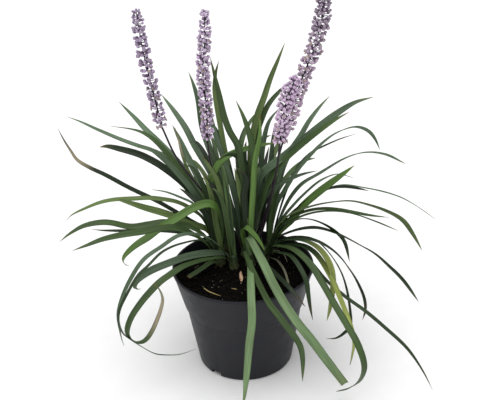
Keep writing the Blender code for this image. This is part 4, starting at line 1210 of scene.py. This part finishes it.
def add_crown(fan, crown, draw):
    """Adds the crown: a short fluted stem of clasping leaf bases, pale at the soil."""
    points, faces, tints, places = fan
    x, y = CROWNS[crown]
    rows = FINE_CROWN_ROWS
    sides = FINE_CROWN_SIDES
    rate, start = CROWN_BLEND
    first = len(points)
    turn = draw.uniform(0.0, math.tau)
    for row in range(rows + 1):
        share = row / rows
        rise = CROWN_TOP_Z + FINE_CROWN_RISE - CROWN_FOOT_Z - FINE_CROWN_FOOT
        height = CROWN_FOOT_Z + FINE_CROWN_FOOT + rise * share
        past = max(share - TAPER_START, 0.0)
        radius = CROWN_RADIUS * (1.0 - TAPER_LOSS * past / TAPER_LENGTH)
        for side in range(sides):
            angle = math.tau * side / sides
            flute = 1.0 - FLUTE_DEPTH * abs(math.sin(FLUTE_WAVES * angle + turn + FLUTE_LEAN * share))
            reach = radius * flute
            points.append(Vector((x + reach * math.cos(angle), y + reach * math.sin(angle), height)))
            tints.append(blend_colours(linear(CROWN_BASE), linear(CROWN_TOP), rate * share - start))
            places.append((angle * CROWN_RADIUS, height))
    faces += ring_quads(sides, rows, first) + end_faces(sides, rows, first)


def build_fans(material):
    draw = random.Random(LEAF_SEED)
    for crown, leaves in plan_leaves().items():
        fan = ([], [], [], [])
        add_crown(fan, crown, draw)
        for leaf, curve, side in leaves:
            add_fine_blade(fan, leaf, curve, side, draw)
        points, faces, tints, places = fan
        obj = make_piece("leaves_" + crown, points, faces, material)
        paint(obj, "tint", tints)
        lay_out(obj, places)
        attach(obj, "root")
        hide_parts(crown)


# Flower spikes

def head_taper(share):
    """How full the head is at a share of its height: a rounded foot, and a tip that narrows late."""
    foot, rate = HEAD_FOOT
    start, loss = HEAD_TIP
    past = max(share - start, 0.0) / (1.0 - start)
    return min(1.0, foot + share / rate) * (1.0 - loss * past**2)


def build_stalk(name, spike, material):
    """One grown stalk from the soil to the head's tip, thinner through the head."""
    x, y, _ = spike["scape"][0]
    lower = smooth_route([(x, y, SCAPE_FOOT_Z), (x, y, NECK_Z), *spike["scape"]])
    upper = smooth_route(spike["head"])
    curve = lower + upper[1:-3]
    whole = curve_length(curve)
    head_share = curve_length(lower) / whole
    count = round(whole / STALK_STEP)
    stations = even_points(curve, count)
    frames = carried_frames(stations, Vector(STALK_SIDEWAYS))
    sides = STALK_SIDES
    points = []
    for index, (tangent, across) in enumerate(frames):
        share = index / count
        other = tangent.cross(across)
        if share < head_share:
            radius = SCAPE_RADIUS + (SCAPE_TIP_RADIUS - SCAPE_RADIUS) * share / head_share
        else:
            past = (share - head_share) / (1.0 - head_share)
            radius = SCAPE_TIP_RADIUS + (RACHIS_TIP_RADIUS - SCAPE_TIP_RADIUS) * past
        for side in range(sides):
            angle = math.tau * side / sides
            reach = radius * (1.0 - STALK_RIB * (side % 2))
            points.append(stations[index] + (across * math.cos(angle) + other * math.sin(angle)) * reach)
    stalk = make_piece("stalk_" + name, points, bar_faces(sides, count), material)
    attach(stalk, "root")
    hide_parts("scape_" + name)


def add_lathed(bunch, base, axis, profile, sides, colours, squeeze=0.0):
    """Adds a small closed form turned about an axis, from (radius, height) rows and a colour for
    each row. A squeeze draws in three furrows down its sides."""
    points, faces, tints = bunch
    axis = axis.normalized()
    across = axis.orthogonal().normalized()
    other = axis.cross(across)
    first = len(points)
    points.append(base + axis * profile[0][1])
    tints.append(colours[0])
    for (radius, height), colour in zip(profile[1:-1], colours[1:-1]):
        for side in range(sides):
            angle = math.tau * side / sides
            reach = radius * (1.0 - squeeze * (0.5 - 0.5 * math.cos(3.0 * angle)))
            out = across * math.cos(angle) + other * math.sin(angle)
            points.append(base + axis * height + out * reach)
            tints.append(colour)
    points.append(base + axis * profile[-1][1])
    tints.append(colours[-1])
    faces += turned_faces(len(profile), sides, first)


def add_bud(bunch, root, axis, size, colour):
    """Adds an egg-shaped bud on its short stalk, darker at its base."""
    dark = blend_colours(colour, linear(BUD_BASE), BUD_BASE_BLEND)
    light = blend_colours(colour, linear(BUD_LIGHT), BUD_LIGHT_BLEND)
    length = BUD_LENGTH * size
    radius = BUD_RADIUS * size
    rows = [(0.0, 0.0)]
    colours = [dark]
    for step in range(1, BUD_ROWS):
        angle = math.pi * step / BUD_ROWS
        rows.append((radius * math.sin(angle) ** BUD_ROUNDNESS, length * (0.5 - 0.5 * math.cos(angle))))
        colours.append(blend_colours(dark, light, step / BUD_BLEND_ROWS))
    rows.append((0.0, length))
    colours.append(light)
    add_lathed(bunch, root, axis, rows, BUD_SIDES, colours, squeeze=BUD_FURROW)


def add_pedicel(bunch, start, end):
    """Adds the short stalk of one bud."""
    tint = linear(PEDICEL_COLOUR)
    axis = end - start
    length = axis.length
    rows = [(0.0, 0.0), (PEDICEL_RADIUS, 0.0), (PEDICEL_RADIUS, length), (0.0, length)]
    add_lathed(bunch, start, axis, rows, PEDICEL_SIDES, [tint] * len(rows))


def add_floret(bunch, root, axis, size, colour):
    """Adds an open floret: six cupped petals round a tuft of yellow anthers."""
    points, faces, tints = bunch
    axis = axis.normalized()
    across = axis.orthogonal().normalized()
    other = axis.cross(across)
    light = blend_colours(colour, linear(PETAL_LIGHT), PETAL_LIGHT_BLEND)
    reach = BUD_LENGTH * size
    swell_start, swell_rate = PETAL_SWELL
    for petal in range(PETALS):
        angle = math.tau * petal / PETALS
        out = across * math.cos(angle) + other * math.sin(angle)
        side = axis.cross(out)
        first = len(points)
        for row in range(PETAL_ROWS + 1):
            share = row / PETAL_ROWS
            rise = PETAL_FOOT + PETAL_RISE * share - PETAL_NOD * share**2
            spine = root + axis * (reach * rise) + out * (reach * PETAL_OUT * share)
            width = reach * PETAL_WIDTH * math.sin(math.pi * (swell_start + swell_rate * share))
            for along in (-1.0, 0.0, 1.0):
                cup = axis * (PETAL_CUP * abs(along) * width)
                points.append(spine + side * (width * along) + cup)
                tints.append(blend_colours(colour, light, share))
            points.append(spine - axis * PETAL_THICK)
            tints.append(colour)
        faces += ring_quads(4, PETAL_ROWS, first)
        last = first + 4 * PETAL_ROWS
        faces.append((first, first + 3, first + 2, first + 1))
        faces.append((last, last + 1, last + 2, last + 3))
    anthers = linear(ANTHER_COLOUR)
    rows = [(0.0, 0.0), (0.35, 0.3), (0.6, reach * 0.4), (0.55, reach * 0.62), (0.0, reach * 0.72)]
    add_lathed(bunch, root, axis, rows, PETALS, [anthers] * len(rows))


def build_head(name, spike, material, draw):
    """Buds on short stalks, in crowded whorls round the upper stalk."""
    bunch = ([], [], [])
    curve = smooth_route(spike["head"])
    whorls = round(curve_length(curve) / FINE_WHORL * spike["crowding"])
    stations = even_points(curve, WHORL_STATIONS * whorls)
    frames = carried_frames(stations, Vector(STALK_SIDEWAYS))
    foot_colour, tip_colour = (linear(colour) for colour in spike["colours"])
    foot_buds, tip_buds = spike["buds"]
    for whorl in range(whorls):
        share = (whorl + 0.5) / whorls
        closing = max(share - CLOSING_START, 0.0) / CLOSING_LENGTH
        full = spike["radius"] * head_taper(share)
        count = round(foot_buds + (tip_buds - foot_buds) * share)
        start = draw.uniform(0.0, math.tau)
        for bud in range(count):
            station = WHORL_STATIONS * whorl + draw.randint(0, WHORL_STATIONS - 1)
            station = min(max(station, 1), WHORL_STATIONS * whorls - 2)
            tangent, across = frames[station]
            other = tangent.cross(across)
            angle = start + math.tau * (bud + draw.uniform(-BUD_SWAY, BUD_SWAY)) / count
            out = across * math.cos(angle) + other * math.sin(angle)
            rise = math.radians(draw.uniform(*BUD_RISE) + CLOSING_RISE * closing)
            axis = out * math.cos(rise) + tangent * math.sin(rise)
            size = draw.uniform(*BUD_SIZES) * (1.0 - CLOSING_SHRINK * closing)
            base = full * draw.uniform(*BUD_DEPTHS) - BUD_LENGTH * size * BUD_INSIDE
            root = stations[station] + out * max(base, LEAST_REACH)
            colour = blend_colours(foot_colour, tip_colour, share)
            tone = draw.uniform(*BUD_SHADES)
            colour = [value * tone for value in colour[:3]] + [1.0]
            add_pedicel(bunch, stations[station], root + axis * PEDICEL_OVERLAP)
            if draw.random() < spike["open"] * (1.0 - OPEN_LOSS * share):
                add_floret(bunch, root, axis, size, colour)
            else:
                add_bud(bunch, root, axis, size, colour)
    points, faces, tints = bunch
    head = make_piece("head_" + name + "_buds", points, faces, material)
    paint(head, "tint", tints)
    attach(head, "root")
    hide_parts("head_" + name)


# Pot and soil

def rounded_profile(corners):
    """Rows of (radius, height) through corners given as (radius, height, rounding)."""
    rows = []
    for index, (radius, height, rounding) in enumerate(corners):
        corner = Vector((radius, height))
        if rounding == 0.0:
            rows.append((radius, height))
            continue
        before = Vector(corners[index - 1][:2])
        after = Vector(corners[index + 1][:2])
        start = corner + (before - corner).normalized() * rounding
        end = corner + (after - corner).normalized() * rounding
        for step in range(ROUNDING_STEPS + 1):
            t = step / ROUNDING_STEPS
            point = start * (1 - t) ** 2 + corner * (2 * t * (1 - t)) + end * t**2
            rows.append((point.x, point.y))
    return rows


def pot_profile():
    skirt_z = POT_HEIGHT - SKIRT_DEPTH
    return rounded_profile([
        (0.0, 0.0, 0.0),
        (BODY_BASE_RADIUS - FOOT_ROUND * 0.8, 0.0, 0.0),
        (BODY_BASE_RADIUS - 0.6, 0.0, 3.2),
        (SKIRT_FOOT_RADIUS - SKIRT_STEP, skirt_z - SKIRT_STEP, 0.8),
        (SKIRT_FOOT_RADIUS, skirt_z, 0.8),
        (RIM_RADIUS - LIP_STEP, POT_HEIGHT - LIP_HEIGHT, 0.3),
        (RIM_RADIUS, POT_HEIGHT - LIP_HEIGHT + 0.6, 0.3),
        (RIM_RADIUS, POT_HEIGHT, 0.7),
        (RIM_RADIUS - LIP_STEP - WALL, POT_HEIGHT, 0.5),
        (SKIRT_FOOT_RADIUS - WALL, skirt_z + INNER_STEP, 0.6),
        (SKIRT_FOOT_RADIUS - SKIRT_STEP - WALL, skirt_z - SKIRT_STEP - INNER_STEP, 0.6),
        (BODY_BASE_RADIUS - WALL, FOOT_ROUND, 1.0),
        (BODY_BASE_RADIUS - WALL - 1.4, FLOOR, 0.8),
        (0.0, FLOOR, 0.0),
    ])


def build_pot(material):
    pot = make_piece("pot_shell", *turned_mesh(pot_profile(), POT_SIDES), material)
    face_outward(pot)
    slots = bpy.data.collections.new("drain_cutters")
    bpy.context.scene.collection.children.link(slots)
    for slot in range(DRAIN_SLOTS):
        angle = math.radians(DRAIN_ANGLE + 360.0 * slot / DRAIN_SLOTS)
        out = Vector((math.cos(angle), math.sin(angle), 0.0))
        side = Vector((-math.sin(angle), math.cos(angle), 0.0))
        points = []
        for height in (DRAIN_CUT_FOOT, DRAIN_HEIGHT):
            for along, across in ((-1, -1), (1, -1), (1, 1), (-1, 1)):
                reach = BODY_BASE_RADIUS + DRAIN_CUT_OUT + DRAIN_CUT_HALF * along
                base = out * reach + side * (across * DRAIN_WIDTH / 2)
                points.append(base + Vector((0.0, 0.0, height)))
        faces = [(3, 2, 1, 0), (4, 5, 6, 7)]
        for corner in range(4):
            following = (corner + 1) % 4
            faces.append((corner, following, following + 4, corner + 4))
        cutter = make_piece("slot_cutter", points, faces, material, smooth=False)
        face_outward(cutter)
        bpy.context.scene.collection.objects.unlink(cutter)
        slots.objects.link(cutter)
    apply_cut(pot, slots)
    pot.data.set_sharp_from_angle(angle=math.radians(SHARP_ANGLE))
    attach(pot, "root")
    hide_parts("pot")


def soil_radius():
    """The soil's radius at its top edge, a little inside the pot's wall."""
    skirt_z = POT_HEIGHT - SKIRT_DEPTH
    low = Vector((SKIRT_FOOT_RADIUS - WALL - SOIL_GAP, skirt_z + INNER_STEP))
    high = Vector((RIM_RADIUS - LIP_STEP - WALL - SOIL_GAP, POT_HEIGHT))
    share = (SOIL_EDGE_Z - low.y) / (high.y - low.y)
    return low.lerp(high, share).x


def soil_height(x, y):
    """The soil's surface: a low mound, broken into lumps and crumbs."""
    share = math.hypot(x, y) / soil_radius()
    height = SOIL_EDGE_Z + SOIL_MOUND * (1.0 - share**2)
    for waves, place, depth in (SOIL_LUMPS, SOIL_CRUMBLE):
        height += noise.noise(Vector((x * waves, y * waves, place))) * depth
    return height


def build_soil(material):
    edge = soil_radius()
    skirt_z = POT_HEIGHT - SKIRT_DEPTH
    wall = [
        (0.0, FLOOR + SOIL_GAP),
        (BODY_BASE_RADIUS - WALL - 2.0, FLOOR + SOIL_GAP),
        (BODY_BASE_RADIUS - WALL - SOIL_GAP, FOOT_ROUND),
        (SKIRT_FOOT_RADIUS - SKIRT_STEP - WALL - SOIL_GAP, skirt_z - SKIRT_STEP - INNER_STEP),
        (SKIRT_FOOT_RADIUS - WALL - SOIL_GAP, skirt_z + INNER_STEP),
    ]
    top = [(edge * (1.0 - ring / SOIL_RINGS), SOIL_EDGE_Z) for ring in range(SOIL_RINGS)]
    points, faces = turned_mesh(wall + top + [(0.0, SOIL_EDGE_Z)], SOIL_SIDES)
    surfaced = []
    for x, y, height in points:
        if height >= SOIL_EDGE_Z:
            height = soil_height(x, y)
        surfaced.append((x, y, height))
    soil = make_piece("soil_bed", surfaced, faces, material)
    face_outward(soil)
    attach(soil, "root")
    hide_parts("soil")


def lump(points, faces, centre, radius, draw, stretch):
    """Adds one rough crumb: an icosahedron with its corners drawn in and out."""
    golden = (1.0 + math.sqrt(5.0)) / 2.0
    corners = [(-1, golden, 0), (1, golden, 0), (-1, -golden, 0), (1, -golden, 0),
               (0, -1, golden), (0, 1, golden), (0, -1, -golden), (0, 1, -golden),
               (golden, 0, -1), (golden, 0, 1), (-golden, 0, -1), (-golden, 0, 1)]
    sides = [(0, 11, 5), (0, 5, 1), (0, 1, 7), (0, 7, 10), (0, 10, 11), (1, 5, 9), (5, 11, 4),
             (11, 10, 2), (10, 7, 6), (7, 1, 8), (3, 9, 4), (3, 4, 2), (3, 2, 6), (3, 6, 8),
             (3, 8, 9), (4, 9, 5), (2, 4, 11), (6, 2, 10), (8, 6, 7), (9, 8, 1)]
    turn = Matrix.Rotation(draw.uniform(0.0, math.tau), 3, Vector((0.0, 0.0, 1.0)))
    first = len(points)
    for corner in corners:
        reach = Vector(corner).normalized() * radius * draw.uniform(*CRUMB_ROUGHNESS)
        reach = Vector(reach[axis] * stretch[axis] for axis in range(3))
        points.append(centre + turn @ reach)
    faces += [tuple(first + corner for corner in side) for side in sides]


def on_soil(draw, limit):
    radius = soil_radius() * limit * math.sqrt(draw.random())
    angle = draw.uniform(0.0, math.tau)
    return radius * math.cos(angle), radius * math.sin(angle)


def scatter(name, count, sizes, draw, material, stretch, limit):
    """A layer of loose crumbs, sunk a little way into the soil."""
    points, faces = [], []
    for _ in range(count):
        x, y = on_soil(draw, limit)
        size = sizes[0] + (sizes[1] - sizes[0]) * draw.random() ** CRUMB_BIAS
        centre = Vector((x, y, soil_height(x, y) + size * CRUMB_RISE))
        lump(points, faces, centre, size, draw, stretch)
    piece = make_piece(name, points, faces, material, smooth=False)
    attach(piece, "root")


def build_strip(name, route, width, thick, material):
    """A thin dry strip that lies on the soil, such as a straw or a withered leaf."""
    curve = smooth_route(route)
    count = max(FEWEST_STRIP_STEPS, round(curve_length(curve) / STRIP_STEP))
    stations = even_points(curve, count)
    frames = carried_frames(stations, Vector(STRIP_SIDEWAYS))
    loss, power = STRIP_TAPER
    points = []
    for index, (tangent, across) in enumerate(frames):
        share = index / count
        half = width / 2 * (1.0 - loss * abs(2.0 * share - 1.0) ** power)
        up = tangent.cross(across)
        for u, v in STRIP_SECTION:
            points.append(stations[index] + across * (half * u) + up * (thick / 2 * v))
    corners = len(STRIP_SECTION)
    faces = ring_quads(corners, count) + end_faces(corners, count)
    piece = make_piece(name, points, faces, material)
    face_outward(piece)
    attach(piece, "root")


def dress_soil():
    peat = peat_soil()
    build_soil(peat)
    draw = random.Random(SOIL_SEED)
    scatter("soil_crumbs", CRUMBS, CRUMB_SIZES, draw, peat, CRUMB_STRETCH, CRUMB_LIMIT)
    bark = plain_grain("bark_chip_dry", "#5d4938", "#1d1611", 500.0)
    scatter("soil_bark", BARK_CHIPS, BARK_SIZES, draw, bark, BARK_STRETCH, SCRAP_LIMIT)
    grains = plain_grain("perlite_expanded_grain", "#d8d6cf", "#8d8a84", 900.0)
    scatter("soil_grains", WHITE_GRAINS, WHITE_GRAIN_SIZES, draw, grains, CRUMB_STRETCH, SCRAP_LIMIT)
    materials = {
        "wood": plain_grain("wood_chip_split", "#d8b99a", "#9a7452", 700.0),
        "straw": plain_grain("straw_dry", "#c9b27a", "#7d6a3e", 700.0),
        "husk": plain_grain("withered_leaf_dry", "#9a957c", "#4f4c38", 500.0),
    }
    for name, width, thick, kind, slot, route in STRIPS:
        build_strip(name, route, width, thick, materials[kind])


# Stage

def build_stage():
    size = FLOOR_HALF
    corners = [(-size, -size, 0.0), (size, -size, 0.0), (size, size, 0.0), (-size, size, 0.0)]
    floor = make_piece("studio_floor", corners, [(0, 1, 2, 3)], studio_paper(), smooth=False)


def add_sun(name, direction, spread, strength):
    """Even light from one side of the sky, as wide as its spread in degrees."""
    light = bpy.data.lights.new(name, "SUN")
    light.angle = math.radians(spread)
    light.energy = strength
    obj = bpy.data.objects.new(name, light)
    obj.rotation_euler = Vector(direction).to_track_quat("Z", "Y").to_euler()
    bpy.context.scene.collection.objects.link(obj)


def light_studio():
    world = bpy.data.worlds.new("studio_air")
    world.use_nodes = True
    background = world.node_tree.nodes["Background"]
    background.inputs[0].default_value = (1.0, 1.0, 1.0, 1.0)
    background.inputs[1].default_value = WORLD_STRENGTH
    bpy.context.scene.world = world
    add_sun("sky_above", SUN_FROM, SUN_SPREAD, SUN_STRENGTH)
    bpy.context.scene.view_settings.view_transform = "Standard"


def place_camera():
    lens = bpy.data.cameras.new("photo_view")
    lens.lens = CAMERA_LENS
    lens.sensor_width = CAMERA_SENSOR
    camera = bpy.data.objects.new("photo_view", lens)
    elevation = math.radians(CAMERA_ELEVATION)
    back = Vector((0.0, -math.cos(elevation), math.sin(elevation)))
    camera.location = (Vector(CAMERA_TARGET) + back * CAMERA_DISTANCE) * MM
    facing = back.to_track_quat("Z", "Y").to_matrix()
    camera.rotation_euler = (facing @ Matrix.Rotation(math.radians(CAMERA_ROLL), 3, "Z")).to_euler()
    bpy.context.scene.collection.objects.link(camera)
    bpy.context.scene.camera = camera


def dress():
    place_camera()
    light_studio()
    build_stage()
    build_pot(moulded_polypropylene())
    dress_soil()
    build_fans(living_leaf())
    stalk = aubergine_stalk()
    petal = bud_petal()
    draw = random.Random(HEAD_SEED)
    for name, spike in SPIKES.items():
        build_stalk(name, spike, stalk)
        build_head(name, spike, petal, draw)


dress()
